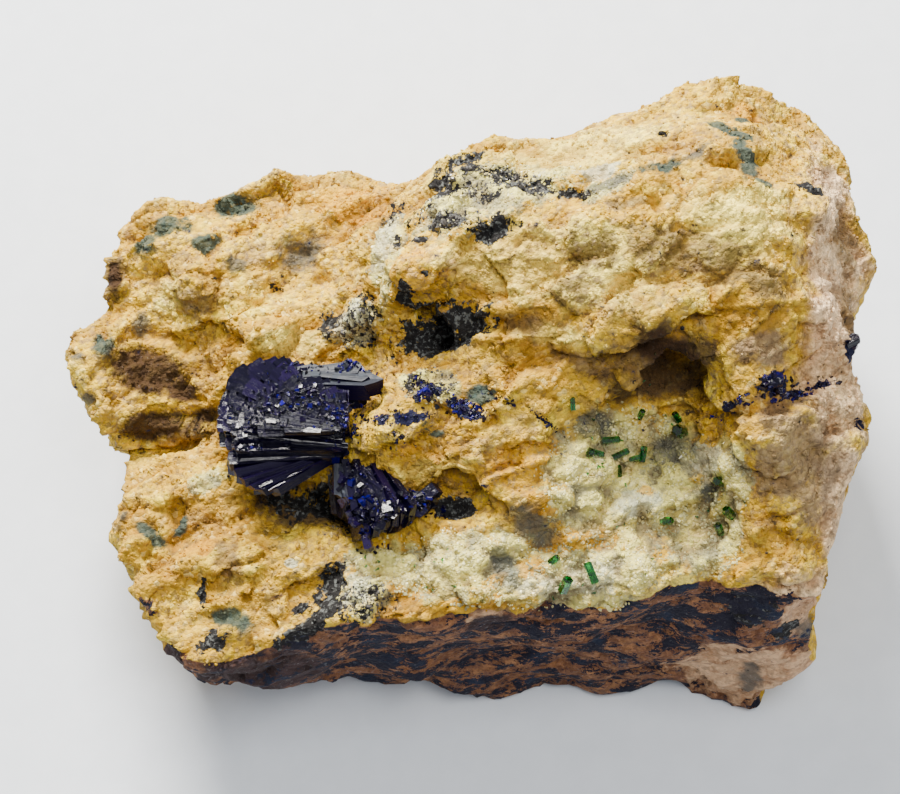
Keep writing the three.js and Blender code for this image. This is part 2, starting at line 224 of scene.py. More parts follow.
RAGGED, given, result = new_group(
    "ragged_edge",
    [VECTOR, ("Mask", FLOAT, 0.0), ("Scale", FLOAT, 1000.0), ("Ragged", FLOAT, 0.8), ("Soft", FLOAT, 0.08)],
    [("Mask", FLOAT)],
)
rag = node(RAGGED, "ShaderNodeTexNoise", None, Vector=given["Vector"], Scale=given["Scale"], Detail=5.0,
           Roughness=0.62)
rag = math_node(RAGGED, "SUBTRACT", rag.outputs["Fac"], 0.5)
rag = math_node(RAGGED, "MULTIPLY_ADD", rag, given["Ragged"], given["Mask"])
edge = node(RAGGED, "ShaderNodeMapRange", {"interpolation_type": "SMOOTHSTEP"}, Value=rag)
RAGGED.links.new(math_node(RAGGED, "SUBTRACT", 0.5, given["Soft"]), edge.inputs["From Min"])
RAGGED.links.new(math_node(RAGGED, "ADD", 0.5, given["Soft"]), edge.inputs["From Max"])
RAGGED.links.new(edge.outputs["Result"], result["Mask"])


def ragged(tree, coordinates, mask, grain_mm, rag=0.9, soft=0.08):
    """A soft mask with its edge cut ragged."""
    made = node(tree, "ShaderNodeGroup", {"node_tree": RAGGED}, Vector=coordinates, Mask=mask,
                Scale=1 / (grain_mm * MM), Ragged=rag, Soft=soft)
    return made.outputs["Mask"]


print("group:", RAGGED.name, [s.name for s in RAGGED.interface.items_tree])

# %% [markdown]
# ## Sugary grain for stone
# The rock is made of tiny crystals. This group gives a height for that grain, rounded cells with finer noise
# on them, and a tone of its own for each cell. The height goes into the rock material's Bump node.

# %% The sugar_grain node group
SUGAR, given, result = new_group(
    "sugar_grain",
    [VECTOR, ("Scale", FLOAT, 2500.0), ("Fine", FLOAT, 0.5)],
    [("Height", FLOAT), ("Tone", FLOAT)],
)
grain_cells = node(SUGAR, "ShaderNodeTexVoronoi", None, Vector=given["Vector"], Scale=given["Scale"])
fine_scale = times(SUGAR, given["Scale"], 2.6)
grain_noise = node(SUGAR, "ShaderNodeTexNoise", None, Vector=given["Vector"], Scale=fine_scale, Detail=3.0)
dome = math_node(SUGAR, "SUBTRACT", 1.0, grain_cells.outputs["Distance"])
grain_height = math_node(SUGAR, "MULTIPLY_ADD", grain_noise.outputs["Fac"], given["Fine"], dome)
SUGAR.links.new(grain_height, result["Height"])
tone = node(SUGAR, "ShaderNodeSeparateColor", None, Color=grain_cells.outputs["Color"])
SUGAR.links.new(tone.outputs[0], result["Tone"])


def sugar_grain(tree, coordinates, grain_mm, fine=0.5):
    return node(tree, "ShaderNodeGroup", {"node_tree": SUGAR}, Vector=coordinates, Scale=1 / (grain_mm * MM),
                Fine=fine).outputs


print("group:", SUGAR.name)

# %% [markdown]
# ## Noise for modelling
# The rock's relief is made by moving vertices, so the same kind of noise is needed in code. A table of random
# numbers, read smoothly between its entries, gives value noise. Cell noise finds the nearest of many
# scattered centres: cells with a random tilt look like broken chunks, and cells with domes look like grains.

# %% Noise in code
SEED = 11
TABLE = 64
LAYER_SHIFT = 17.3  # keeps the layers of one noise apart
FAR = 9.0  # further than any cell centre
random_table = np.random.default_rng(SEED).random((TABLE, TABLE, TABLE, 4)).astype(np.float32)


def value_noise(points, size, shift=0.0, channel=0):
    """Smooth noise from 0 to 1; points and size are in millimetres."""
    p = points / size + shift
    low = np.floor(p).astype(int)
    t = p - low
    t = t * t * (3 - 2 * t)
    total = 0
    for corner in range(8):
        step = np.array([corner & 1, corner >> 1 & 1, corner >> 2 & 1])
        x, y, z = ((low + step) % TABLE).T
        weight = np.prod(np.where(step == 1, t, 1 - t), axis=1)
        total = total + weight * random_table[x, y, z, channel]
    return total


def layered_noise(points, size, layers=4, shift=0.0, channel=0):
    """Several sizes of noise added up, each half as large and half as strong as the last; about 0 to 1."""
    strengths = [0.5**i for i in range(layers)]
    total = sum(s * value_noise(points, size * s, shift + LAYER_SHIFT * i, channel)
                for i, s in enumerate(strengths))
    return total / sum(strengths)


def cell_noise(points, size, shift=0.0):
    """For each point: distance to the nearest cell centre and to the second one, in cells, that centre's
    place, and four random numbers of its cell."""
    p = points / size + shift
    home = np.floor(p).astype(int)
    first, second = np.full(len(p), FAR), np.full(len(p), FAR)
    centre = np.zeros_like(p)
    chance = np.zeros((len(p), 4))
    for dx in (-1, 0, 1):
        for dy in (-1, 0, 1):
            for dz in (-1, 0, 1):
                cell = home + (dx, dy, dz)
                x, y, z = (cell % TABLE).T
                spot = cell + random_table[x, y, z, :3]
                distance = np.linalg.norm(p - spot, axis=1)
                nearer = distance < first
                second = np.where(nearer, first, np.minimum(second, distance))
                centre = np.where(nearer[:, None], spot, centre)
                chance = np.where(nearer[:, None], random_table[z, x, y], chance)
                first = np.where(nearer, distance, first)
    return first, second, (centre - shift) * size, chance


def smooth(value, low, high):
    """A smooth step from 0 at low to 1 at high."""
    t = np.clip((value - low) / (high - low), 0, 1)
    return t * t * (3 - 2 * t)


print("noise table:", random_table.shape)

# %% [markdown]
# ## The rock: a fine skin
# The rock is one solid of large flat facets in the CAD model. A copy of it is merged, remeshed into small
# even squares, and smoothed until the facets are gone. Its top has all the detail, so the squares there are
# split once more. The piece stays below 200,000 triangles.

# %% Remesh the rock
ROCK_VOXEL = 0.53 * MM
SMOOTHING_ROUNDS = 5
FINE_ABOVE = 15 * MM  # the fine part of the skin starts this high up the block
FINE_SLOPE = 0.15  # and takes in the faces that look up more than this
FOOT = 1.2 * MM  # the foot isn't smoothed below this height
WELD = 1e-6


def welded_copy(name):
    """A bmesh of a CAD node with its loose triangles joined."""
    bm = bmesh.new()
    bm.from_mesh(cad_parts[name].data)
    bmesh.ops.remove_doubles(bm, verts=bm.verts, dist=WELD)
    return bm


def mesh_object(name, bm):
    """Turns a bmesh into an object at the origin."""
    mesh = bpy.data.meshes.new(name)
    bm.to_mesh(mesh)
    bm.free()
    return added(name, mesh)


def modified(thing, kind, **settings):
    """Adds a modifier to an object and applies it to the mesh at once."""
    modifier = thing.modifiers.new(kind.title(), kind)
    for key, value in settings.items():
        setattr(modifier, key, value)
    shaped = bpy.data.meshes.new_from_object(thing.evaluated_get(bpy.context.evaluated_depsgraph_get()))
    thing.modifiers.clear()
    thing.data = shaped


rock = mesh_object("ochre_rock", welded_copy("matrix"))
modified(rock, "REMESH", mode="VOXEL", voxel_size=ROCK_VOXEL, use_smooth_shade=True)
bm = bmesh.new()
bm.from_mesh(rock.data)
for _ in range(SMOOTHING_ROUNDS):
    loose = [v for v in bm.verts if v.co.z > FOOT]
    bmesh.ops.smooth_vert(bm, verts=loose, factor=0.5, use_axis_x=True, use_axis_y=True, use_axis_z=True)
bm.normal_update()
top_faces = [f for f in bm.faces if f.calc_center_median().z > FINE_ABOVE and f.normal.z > FINE_SLOPE]
top_edges = list({e for f in top_faces for e in f.edges})
bmesh.ops.subdivide_edges(bm, edges=top_edges, cuts=1, use_grid_fill=True)
bmesh.ops.triangulate(bm, faces=[f for f in bm.faces if len(f.verts) > 4])
bm.to_mesh(rock.data)
bm.free()
triangles = sum(len(p.vertices) - 2 for p in rock.data.polygons)
print("rock skin:", len(rock.data.vertices), "vertices,", triangles, "triangles")

# %% [markdown]
# ## Where each kind of stone lies
# The block isn't one colour. Ochre limonite makes most of it, grey and cream quartz lines the pocket and the
# trough, black manganese and blue-black azurite stain it, and iron has turned the front brown. Some kinds are
# painted shade, not stone: recess, umber and mauve, and a few black and brown patches in the dark hole, the
# crevice under the rosette and the crease of the left step. Each kind is a short list of patches: a middle and
# three half sizes in millimetres, and a turn about Z in degrees. A patch is a soft blob, and noise makes its
# edge ragged later, so a few blobs are enough for a natural outline.

# %% Patches of each kind
PATCHES = {
    "black": [
        ((-0.9, 14.2, 27.4), (2.3, 1.4, 3.5), 0), ((-1.9, 12.6, 27.8), (1.0, 1.6, 3), 0),
        ((3.9, 11.8, 30.5), (2.7, 1.15, 2), -32), ((-5.4, 9, 26.5), (0.4, 0.6, 1.5), 0),
        ((-1.6, 9.0, 30.1), (1.8, 0.75, 2), -4), ((1.7, 7.8, 31.6), (1.6, 0.95, 2), 12),
        ((7.7, 10.6, 31.9), (1.2, 0.45, 1.5), -10), ((-3.7, 8, 28.9), (0.6, 0.4, 1.5), 0),
        ((-4.7, 4.1, 28.3), (0.7, 0.5, 2), 0), ((-3.1, 5, 29.6), (0.4, 0.25, 1), 0),
        # the first patch below is painted shade filling the dark hole
        ((-1.7, 2.1, 24.6), (3.6, 1.8, 6), 8), ((-5, -5.9, 24.9), (0.5, 0.45, 1), 0),
        ((-10.1, -15.3, 20.5), (1.0, 1.7, 2), -10), ((-10.2, -17.0, 20.6), (1.3, 1.1, 2), 10),
        ((-11.0, -18.2, 20.4), (1.9, 0.9, 2), 35), ((-12.8, -19.3, 19.6), (1.5, 0.6, 2), 20),
        ((-12.3, -17.1, 19.6), (0.8, 0.4, 1), 20), ((-18.9, -19.5, 18.2), (1.2, 0.8, 1.5), 10),
        ((-19.7, -15.7, 18.6), (0.35, 1, 1), -8), ((24.7, 11.2, 30.4), (1.5, 0.6, 1.4), -8),
        ((14, 15.3, 32), (0.5, 0.35, 1), 0), ((-1.2, -10, 21.6), (1.7, 1.1, 2), -8),
        # these two are painted shadow in the crevice under the rosette
        ((-11.6, -8.8, 18.6), (3.4, 1.4, 3), -10), ((-9.1, -9.8, 18.8), (0.9, 1.7, 2.6), 0),
        ((-10.7, 4.9, 21), (0.7, 0.9, 2), 0),
        ((20.6, -17.4, 19.5), (2, 1.5, 2.4), 0), ((23.9, -18, 15.6), (1.4, 1.6, 1), 0),
    ],
    "speckled": [
        ((-7.6, -17.2, 21.4), (2.3, 1.5, 2), 5), ((-8.3, 4.2, 22.6), (3, 1.7, 3.4), 4),
        ((-3.2, -1.7, 26), (2.2, 1.3, 2), -10), ((-3.6, 10.8, 27.4), (1.7, 1.3, 2.4), 0),
        ((-0.7, 12.5, 28.6), (2.2, 1.9, 3.4), 0), ((1.6, 11.4, 29.8), (1.4, 1.2, 2), 0),
        ((-14.6, 8.2, 19.6), (0.9, 0.6, 1.5), 0), ((-5.6, 12.7, 24), (1.2, 1.5, 4), 0),
    ],
    "blue_black": [
        ((-5, -4.6, 25.5), (1.9, 0.55, 1.5), 6), ((-2.9, -2.4, 26.3), (0.8, 0.4, 1), -20),
        ((-0.6, -4, 26.4), (1.6, 0.6, 1), -25), ((21.7, -3.1, 29.6), (1.3, 0.9, 1.5), 0),
        ((18.9, -4.3, 27.9), (1.2, 0.25, 1.5), 8), ((23.4, -3.3, 28.6), (1.2, 0.35, 1.5), 25),
        ((25.6, -2.4, 27.4), (0.9, 0.3, 1.5), 20), ((27.8, 0.2, 27), (0.6, 1.1, 1.5), 0),
        ((28.5, -4.7, 24.6), (0.5, 0.5, 1), 0),
        ((23.1, -16.5, 21.6), (0.35, 0.3, 0.6), 0), ((5.4, -4.8, 26), (1.5, 0.16, 1), -28),
        ((2.5, -3.6, 26.2), (1.5, 0.16, 1), -25),
    ],
    "smoke": [
        ((-29.7, 2.4, 19), (0.5, 0.35, 1), 0), ((-17.6, 9.5, 20.8), (0.8, 0.7, 1.5), 0),
        ((-28.8, -0.6, 17.8), (0.8, 0.5, 1), 0),
        ((-26, -9.6, 18), (0.6, 0.7, 1), 0), ((-12.8, 10.5, 20.2), (1.8, 1.4, 1.5), 10),
        ((-25.2, 5.6, 17.8), (0.6, 1.2, 1.5), -20), ((16.2, 12.9, 33.2), (1.6, 0.35, 1.5), 32),
        ((14.6, -6, 23.6), (1.8, 1.3, 3), 0), ((9.9, 11, 32.2), (1.7, 0.5, 1.5), 16),
        ((2.6, -14.9, 22), (0.9, 1.8, 1.5), 20),
        ((9, -4.6, 24.4), (1.4, 0.9, 2), 0), ((4.6, -11.8, 22.6), (2.2, 1.2, 2), -30),
        ((17.4, -9.6, 23), (0.6, 1.0, 1.3), 0),
        ((25.6, -17.4, 14.5), (0.9, 0.9, 1.5), 0), ((22, -19, 6), (0.8, 3, 3), 0),
    ],
    # painted shade in the recess under the brow and in the crevice under the rosette
    "recess_shade": [
        ((-12.4, -9.3, 18.6), (3.8, 1.7, 3), -8), ((13.4, -0.6, 24.2), (4.2, 2.1, 4.6), 0),
        ((9.8, -1.8, 25.2), (2.8, 0.9, 2.4), -20), ((13, 0.5, 31.6), (2.2, 0.9, 1.4), -10),
        ((16.6, -0.8, 29.2), (1.6, 1.2, 2), -30),
    ],
    # painted shade: dark brown in the hollow behind the nose, the crease of the left step and the brow's lip
    "umber_shade": [
        ((-24.5, 1.8, 18), (3.2, 2.0, 2.6), -12), ((-22.2, 0.4, 18), (1.8, 1.0, 2), -25),
        ((-24, -2.3, 16.6), (2.9, 1.1, 2.6), 4), ((-20.8, -2.1, 17.8), (2.0, 0.9, 2), 12),
        ((-27.2, 9, 18.2), (0.7, 1.5, 1.5), 0),
        ((12.8, -0.2, 30.2), (2.2, 1.1, 2.4), -25), ((14.8, -1.0, 29.4), (1.7, 1.1, 2.4), -35),
    ],
    "teal": [
        ((-23.2, 12.9, 19.7), (1.9, 1.1, 1.8), 0), ((-20.1, 11.3, 20), (1.2, 0.7, 1.5), 0),
        ((-24.7, 11.5, 19.1), (0.9, 1.1, 1.5), 0), ((-27.8, 3.4, 19.2), (0.9, 1.1, 1.5), 15),
        ((-18.1, 14.6, 19.2), (1.8, 1.2, 1.5), 0), ((-17.5, -17.9, 18.4), (1.7, 0.9, 1.5), -25),
        ((-23.7, -11.2, 18.4), (1.9, 0.6, 1.2), -42), ((-21.6, -11, 18.6), (0.5, 1.1, 1.2), -15),
        ((-2.6, -5.4, 25.4), (1, 0.4, 1), -20), ((0.7, -3, 26.4), (1.2, 0.7, 1), 0),
        ((18.3, 15.8, 31.4), (0.9, 0.6, 1.2), -35), ((19.7, 15, 31.5), (1.2, 0.55, 1.2), -15),
        ((19.5, 14.2, 32), (0.6, 0.7, 1.2), 0), ((20, 13.1, 32.5), (1.5, 0.6, 1.2), -25),
        ((20.1, 12, 33.2), (0.8, 0.7, 1.2), 0), ((20.9, 10.8, 33.6), (0.9, 0.35, 1.2), -15),
        ((13.7, 11.9, 33), (1.8, 0.6, 1.6), 12), ((19.9, 16.9, 30), (0.7, 0.4, 1), 0),
        ((-15.6, -3.1, 19.2), (0.8, 0.4, 1), 0),
    ],
    "quartz": [
        ((11.5, -8.4, 23), (6.2, 5.2, 3.6), -8), ((0.3, -14.6, 22), (6.4, 2.6, 2.5), 0),
        ((-5.4, -14, 21), (3.6, 1.8, 2), 0), ((8, -15, 22.2), (6, 1.9, 2), 0),
        ((16.8, -12, 22.6), (3, 3.6, 2.5), 0), ((8, -16.5, 20.6), (5.6, 1.0, 1.6), 0),
        ((19, -8.6, 24.8), (1.3, 3, 2.5), 0), ((0.8, 10.9, 30.2), (7, 2.6, 3), 10),
        ((-6, 8.6, 25), (1.3, 4.6, 4.5), 0), ((10.2, 10.9, 32.2), (2.3, 0.9, 1.5), 16),
        ((-8.3, 4.2, 22.6), (2.8, 1.4, 3), 4), ((-3, -1.9, 26), (2.2, 1.3, 2), -10),
        ((-7.7, -16.6, 21.2), (1.9, 1.8, 1.7), 0), ((-19.5, -7.4, 18.6), (1.7, 0.8, 1.5), 20),
    ],
    "white": [
        ((4.4, -15.8, 22.2), (2.6, 1.1, 1.5), -8), ((8.9, -15.6, 22), (1.8, 1.2, 1.5), 0),
        ((9.4, 12.2, 31.8), (1.5, 0.7, 1.5), 10), ((-6.2, 10, 25), (0.8, 3.4, 4), 0),
        ((-13, -14, 20), (0.5, 0.4, 1), 0), ((17.2, -7.2, 24.4), (1.3, 1.2, 1.5), 0),
        ((-8.2, -16.2, 21.2), (1.4, 1.3, 1.6), 0), ((-8.6, 4, 22.6), (2.9, 1.4, 2.8), 4),
        ((12.3, -9.9, 22), (1.9, 1.2, 1.5), 0),
    ],
    "orange": [
        ((3.6, -7.8, 24.9), (2.8, 2.2, 1.5), 0), ((-3.9, 5.4, 29.6), (1.9, 1.7, 1.5), 0),
        ((-4.6, -6.6, 25.2), (2.2, 0.5, 1), 8),
        ((5.2, -10.6, 24), (1.4, 1, 1.2), 0),
        ((-20, -12.6, 18.7), (1.7, 0.9, 1.2), 10),
        ((1.5, -16.6, 21.6), (2.6, 0.8, 1), 24), ((10.5, -17.4, 20.8), (7, 0.4, 0.9), 2),
        ((20.8, 18.2, 29), (1.3, 0.9, 1.2), 0), ((-9, 14.4, 20), (3, 1.6, 1.5), 0),
        ((-8, -19, 20.6), (2, 0.5, 0.9), 8), ((18, -15, 22.6), (2.6, 0.8, 1), 0),
    ],
    "honey": [
        ((4.5, -14.7, 21.8), (1.2, 0.9, 1.2), 0), ((7.8, -12.9, 22.6), (2.3, 0.7, 1.2), 10),
        ((12.9, -9.2, 22.4), (0.7, 0.5, 1), 0), ((1.6, -15.9, 21.8), (1.3, 0.5, 1), 40),
        ((0.2, -17.3, 21), (2.6, 0.8, 1.3), 8),
    ],
    "taupe": [
        ((22.4, -7.4, 27), (2.5, 4.2, 4.5), 10), ((24.6, -8.4, 25), (2.5, 3.6, 4), 0),
        ((20.8, -1.2, 31), (2.2, 1.3, 2), 0),
    ],
    "drab": [
        ((9, 6, 32), (2.3, 1.4, 2), -5), ((13.5, 5.8, 33), (3.4, 1.7, 2), -4),
        ((17.6, 4.8, 33.5), (2.7, 1.6, 2), -20),
        ((20.8, 3.2, 33), (1.9, 1.4, 2), -20), ((7.4, 3.2, 31.2), (2, 1.1, 2), 0),
        ((11, 9.2, 32.6), (1.6, 0.5, 1.5), 0),
    ],
    "brown": [
        # the first patch below is painted shade, the shadow in the crease across the left step
        ((-22.4, -3.4, 17.4), (3.4, 0.8, 2), 8), ((-27.2, 9.2, 18.2), (1.0, 1.9, 1.5), 0),
        ((13.3, -1.4, 28.2), (3.4, 2, 3.4), 0),
        ((0.9, -17.4, 20.2), (2.4, 1.1, 1.5), 0), ((-20.4, 6.7, 20), (2.1, 1.2, 1.5), 8),
        ((2.2, 1.6, 29.6), (4, 0.7, 1.5), -8),
        ((27.6, 9.8, 26.4), (1.5, 2.2, 3), 0), ((27.9, 3.2, 25.8), (1.3, 2.8, 3), 0),
        ((-4, -13.5, 21), (1, 0.5, 1), 0), ((8.2, -0.8, 27.4), (2.6, 1, 1.5), -20),
        ((-17.8, -13.6, 19), (1.4, 1.6, 1), 0),
    ],
    "pink": [
        ((26.6, 3, 26.5), (3.3, 12, 7), 0), ((26.6, 10, 27), (2, 5, 4), 0),
        ((23.8, -16.6, 20.8), (2.8, 2.4, 2.6), 0),
        ((27, -9, 23), (1.8, 6, 4), 0),
    ],
    "tan": [
        ((21.6, -19, 6.5), (5.4, 4, 6), 0), ((25.6, -16, 17.5), (2.8, 3.6, 4.6), 0),
        ((27.5, -10, 12), (3, 8, 9), 0), ((0.9, -17.6, 19.8), (1.5, 1.0, 1.0), 0),
    ],
    # painted shade on the lower left of the front face and on a small lump of it
    "mauve_shade": [((-17, -19.6, 14), (6.5, 3, 6), 0), ((1.4, -18, 18.4), (1.8, 1.4, 1.8), 0)],
    "cream": [
        ((-22.2, 7.6, 19), (2.6, 1.5, 1.6), 0), ((5.6, 0.6, 29.8), (3.2, 0.8, 1.4), -15),
        ((-2.4, -8.2, 24.6), (2.8, 1.0, 1.6), 0), ((1.2, 5.2, 30.6), (3.2, 1.7, 2), -30),
        ((7, 5.2, 32), (8, 3.2, 2.5), -6), ((19, 7.6, 32.6), (4, 3, 2.5), 15),
        ((6.8, 14.6, 30.6), (8, 2.4, 2.5), 8),
        ((-13.6, 3.4, 20), (2.4, 1.1, 1.5), 0),
        ((13.6, -15.6, 22), (3.6, 1.4, 1.5), 0), ((-1.6, 14.8, 26), (2, 2, 3), 0),
    ],
}


PATCH_EDGE = (1.7, 0.3)  # a patch fades in from the first to the second, in half sizes


def patch_mask(points, patches):
    """1 in the middle of a patch, 0.5 at its half sizes, and 0 outside; the strongest patch counts."""
    best = np.zeros(len(points))
    for middle, half, turn in patches:
        a = math.radians(turn)
        d = points - middle
        u = (math.cos(a) * d[:, 0] + math.sin(a) * d[:, 1]) / half[0]
        v = (math.cos(a) * d[:, 1] - math.sin(a) * d[:, 0]) / half[1]
        reach = np.sqrt(u * u + v * v + (d[:, 2] / half[2]) ** 2)
        best = np.maximum(best, smooth(reach, *PATCH_EDGE))
    return best


print("patches:", {kind: len(patches) for kind, patches in PATCHES.items()})

# %% [markdown]
# ## The rock's relief
# Real broken rock has steps of many sizes. First come the forms that can be pointed at: the ledge of druse,
# the dark hole, the creases, the lumps in the pocket. Then cells with random tilts break the faces into
# chunks, and domed cells make the sugary grain. Sculpting by hand would also do, but noise in code gives the
# same rock each time it is run, and its sizes stay true to the stone.

# %% Forms of the top
# middle and half sizes seen from above, turn in degrees, and lift; lengths are in millimetres
FORMS = [
    ((-0.9, 2.1), (2.3, 1.1), 8, -2.4),  # dark hole
    ((-8.3, 4.2), (2.8, 1.5), 4, 1.9),  # ledge of druse beside it
    ((-21.6, -3.1), (4.6, 0.55), 8, -0.9),  # crease across the left step
    ((-23.8, 1.1), (3.2, 1.2), -8, -0.8),  # hollow behind the nose
    ((-1.4, -10.3), (1.4, 0.9), 0, -1.5),  # black pocket under the tongue
    ((-11.2, -8.6), (2.8, 0.9), -12, -2.4), ((-9, -9.6), (0.9, 1.6), 0, -1.6),  # crevice under the rosette
    ((12.5, -9.9), (1.5, 1), 0, 0.8), ((9.3, -8.4), (1, 0.8), 0, 0.5),
    ((7.7, -12.7), (1.2, 0.9), 20, 0.9), ((4.6, -14.8), (1.1, 0.9), 0, 0.5),
    ((14.6, -14), (2, 1.3), 0, 0.7), ((10.6, -11.6), (1.2, 0.9), 0, 0.5), ((17.2, -7.2), (1.3, 1.2), 0, 0.8),
    ((16, -12.6), (1, 0.8), 0, -0.5), ((5.3, -10.6), (1.2, 0.9), 0, 0.5),  # lumps of the pocket
    ((1, -17), (1.8, 0.9), 0, 0.8),  # bump on the front edge
    ((11, 0.9), (4.4, 0.9), -6, 0.5),  # lip of the brow
    ((5.4, -4.8), (1.5, 0.14), -28, -0.5), ((2.5, -3.6), (1.5, 0.14), -25, -0.4),  # cracks of the tongue
    ((28.5, -4.8), (1.2, 0.5), 0, -0.9),  # nick in the right edge
    ((14, 15.3), (0.5, 0.4), 0, -1),  # pit near the back edge
    ((4.6, 11.9), (2.6, 0.9), -24, -0.8), ((1.7, 7.8), (1.5, 0.7), 12, -0.6),  # hollows with charcoal
    ((-0.3, 13.4), (1.2, 1), 0, 0.9), ((-3.4, 10.8), (1.5, 1.1), 0, 0.8),  # knobs of druse
    ((-2, 5.6), (4, 1.1), 10, 0.5), ((3, 1.4), (4.6, 0.6), -8, -0.7),  # overhang of the high mass
    ((-19, 12.4), (2.4, 1), 30, 0.6), ((-13.4, 13), (2.2, 1.1), -20, 0.1), ((-22, 8.4), (2.4, 0.8), 12, 0.6),
    ((-16.4, 6.2), (3, 0.7), 30, -0.7), ((-11.5, 9.6), (2, 0.8), 60, 0.6),
    ((-26.2, 5.6), (1.4, 0.8), 60, 0.5),
    ((-20.6, -7.6), (2.6, 0.8), 18, 0.6), ((-15.6, -11.8), (2.8, 0.9), -24, 0.7),
    ((-22, -14.4), (2, 1), 30, 0.5),
    ((-17.6, -15.2), (2.6, 0.6), 10, -0.6), ((-13.6, -15.4), (1.8, 0.8), 34, 0.6),  # steps of the left part
]


def swell(points, middle, half, turn):
    """1 at a form's middle, falling smoothly towards 0 beyond its half sizes, seen from above."""
    a = math.radians(turn)
    dx, dy = points[:, 0] - middle[0], points[:, 1] - middle[1]
    u = (math.cos(a) * dx + math.sin(a) * dy) / half[0]
    v = (math.cos(a) * dy - math.sin(a) * dx) / half[1]
    return np.exp(-(u * u + v * v))


def mesh_arrays(mesh):
    """A mesh's vertices in millimetres and its vertex normals, as arrays."""
    points = np.empty(len(mesh.vertices) * 3)
    mesh.vertices.foreach_get("co", points)
    normals = np.empty(len(mesh.vertices) * 3)
    mesh.vertex_normals.foreach_get("vector", normals)
    return points.reshape(-1, 3) * 1000, normals.reshape(-1, 3)


skin, facing = mesh_arrays(rock.data)
upward = smooth(facing[:, 2], 0.0, 0.5) * smooth(skin[:, 2], 13, 17)
for middle, half, turn, lift in FORMS:
    skin[:, 2] += lift * upward * swell(skin, middle, half, turn)
print("forms:", len(FORMS), "top moved to", round(skin[:, 2].max(), 1), "mm")

# %% Chunks, creases and grain
CHUNKS = [(4.6, 0.85), (2.1, 0.42), (1.2, 0.2)]  # size of the broken chunks and how far they are offset
GRAIN_SIZE, GRAIN_LIFT = 0.6, 0.13
DRUSE = [(1.9, 0.6), (0.85, 0.27)]  # rounded lumps of quartz
# x, and the height of the dark front's upper edge there
FRONT_TOP = ((-22, 19.2), (-8, 20.9), (1, 21.0), (3.5, 19.7), (11, 19.9), (14, 21.6), (26, 21.6))
BEDDING = math.radians(22)  # ridges run along this direction, as the rock's layers do


def write_vertices(mesh, points):
    mesh.vertices.foreach_set("co", (points / 1000).ravel())
    mesh.update()


write_vertices(rock.data, skin)
skin, facing = mesh_arrays(rock.data)
quartz = patch_mask(skin, PATCHES["quartz"])
rim = np.interp(skin[:, 0], *zip(*FRONT_TOP))
front = (smooth(-facing[:, 1], 0.35, 0.75) * smooth(skin[:, 1], -15.0, -16.2)
         * smooth(skin[:, 2] - rim, 0.7, -0.7))
stands = smooth(skin[:, 2], 0.0, 1.5)  # 0 at the flat foot
warped = skin + 1.3 * (np.stack([value_noise(skin, 2.4, 5.1, c) for c in range(3)], axis=1) - 0.5)

along = math.cos(BEDDING) * skin[:, 0] + math.sin(BEDDING) * skin[:, 1]
beside = math.cos(BEDDING) * skin[:, 1] - math.sin(BEDDING) * skin[:, 0]
ridges = layered_noise(np.stack([along * 0.35, beside, skin[:, 2]], axis=1), 1.5, 3, 6.1)
swells = layered_noise(skin, 5.0, 3, 3.7)
relief = 0.75 * (1 - 0.5 * front) * (swells - 0.5) + 0.6 * (ridges - 0.5) * (1 - quartz)
crease = np.zeros(len(skin))
layered = np.stack([along * 0.62, beside * 1.15, skin[:, 2] * 1.1], axis=1) + 1.6 * (
    np.stack([layered_noise(skin, 2.2, 2, 5.1, c) for c in range(3)], axis=1) - 0.5)
for size, lift in CHUNKS:
    near, next_near, middle, chance = cell_noise(layered, size, 31.7 * size)
    tilt = ((layered - middle) * (chance[:, :3] - 0.5)).sum(axis=1) / size
    joint = smooth(next_near - near, 0.12, 0.0)
    relief += lift * (1 - 0.55 * front) * ((chance[:, 3] - 0.5) + 2.2 * tilt - 0.15 * joint)
    crease = np.maximum(crease, joint)
calm_right, calm_back = 0.5 * smooth(facing[:, 0], 0.4, 0.9), 0.7 * smooth(facing[:, 1], 0.2, 0.8)
relief *= (1 - 0.45 * quartz) * (1 - calm_right) * (1 - calm_back)
near, next_near, middle, chance = cell_noise(skin, GRAIN_SIZE, 2.9)
grain_dome = (1 - near**2 * 1.6) * (0.5 + chance[:, 3])
relief += GRAIN_LIFT * (1 - 0.6 * front) * (grain_dome - 0.5)
lumps = np.zeros(len(skin))
for size, lift in DRUSE:
    near, next_near, middle, chance = cell_noise(warped, size, 7.3 * size)
    dome = (1 - near**2 * 1.8) * (0.4 + 1.2 * chance[:, 3])
    relief += lift * quartz * (dome - 0.5)
    lumps += lift * dome
lumps = smooth(lumps, 0.0, 0.75)
relief += 0.1 * (layered_noise(skin, 0.9, 2, 9.1) - 0.5)
skin = skin + facing * (relief * stands)[:, None]
skin[:, 2] = np.maximum(skin[:, 2], 0)
write_vertices(rock.data, skin)
print("relief from", round(relief.min(), 2), "to", round(relief.max(), 2), "mm")

# %% Masks on the rock
def write_mask(mesh, name, values):
    layer = mesh.attributes.get(name) or mesh.attributes.new(name, "FLOAT", "POINT")
    layer.data.foreach_set("value", np.asarray(values, np.float32))


masks = {kind: patch_mask(skin, patches) for kind, patches in PATCHES.items()}
masks["front"] = front
masks["crease"] = crease
masks["lumps"] = lumps
# where the relief is low; the material darkens these hollows with painted shade
masks["hollow"] = smooth(relief, 0.2, -0.6)
for name, values in masks.items():
    write_mask(rock.data, name, values)
for polygon in rock.data.polygons:
    polygon.use_smooth = True
print("masks:", {name: round(float(values.mean()), 3) for name, values in masks.items()})
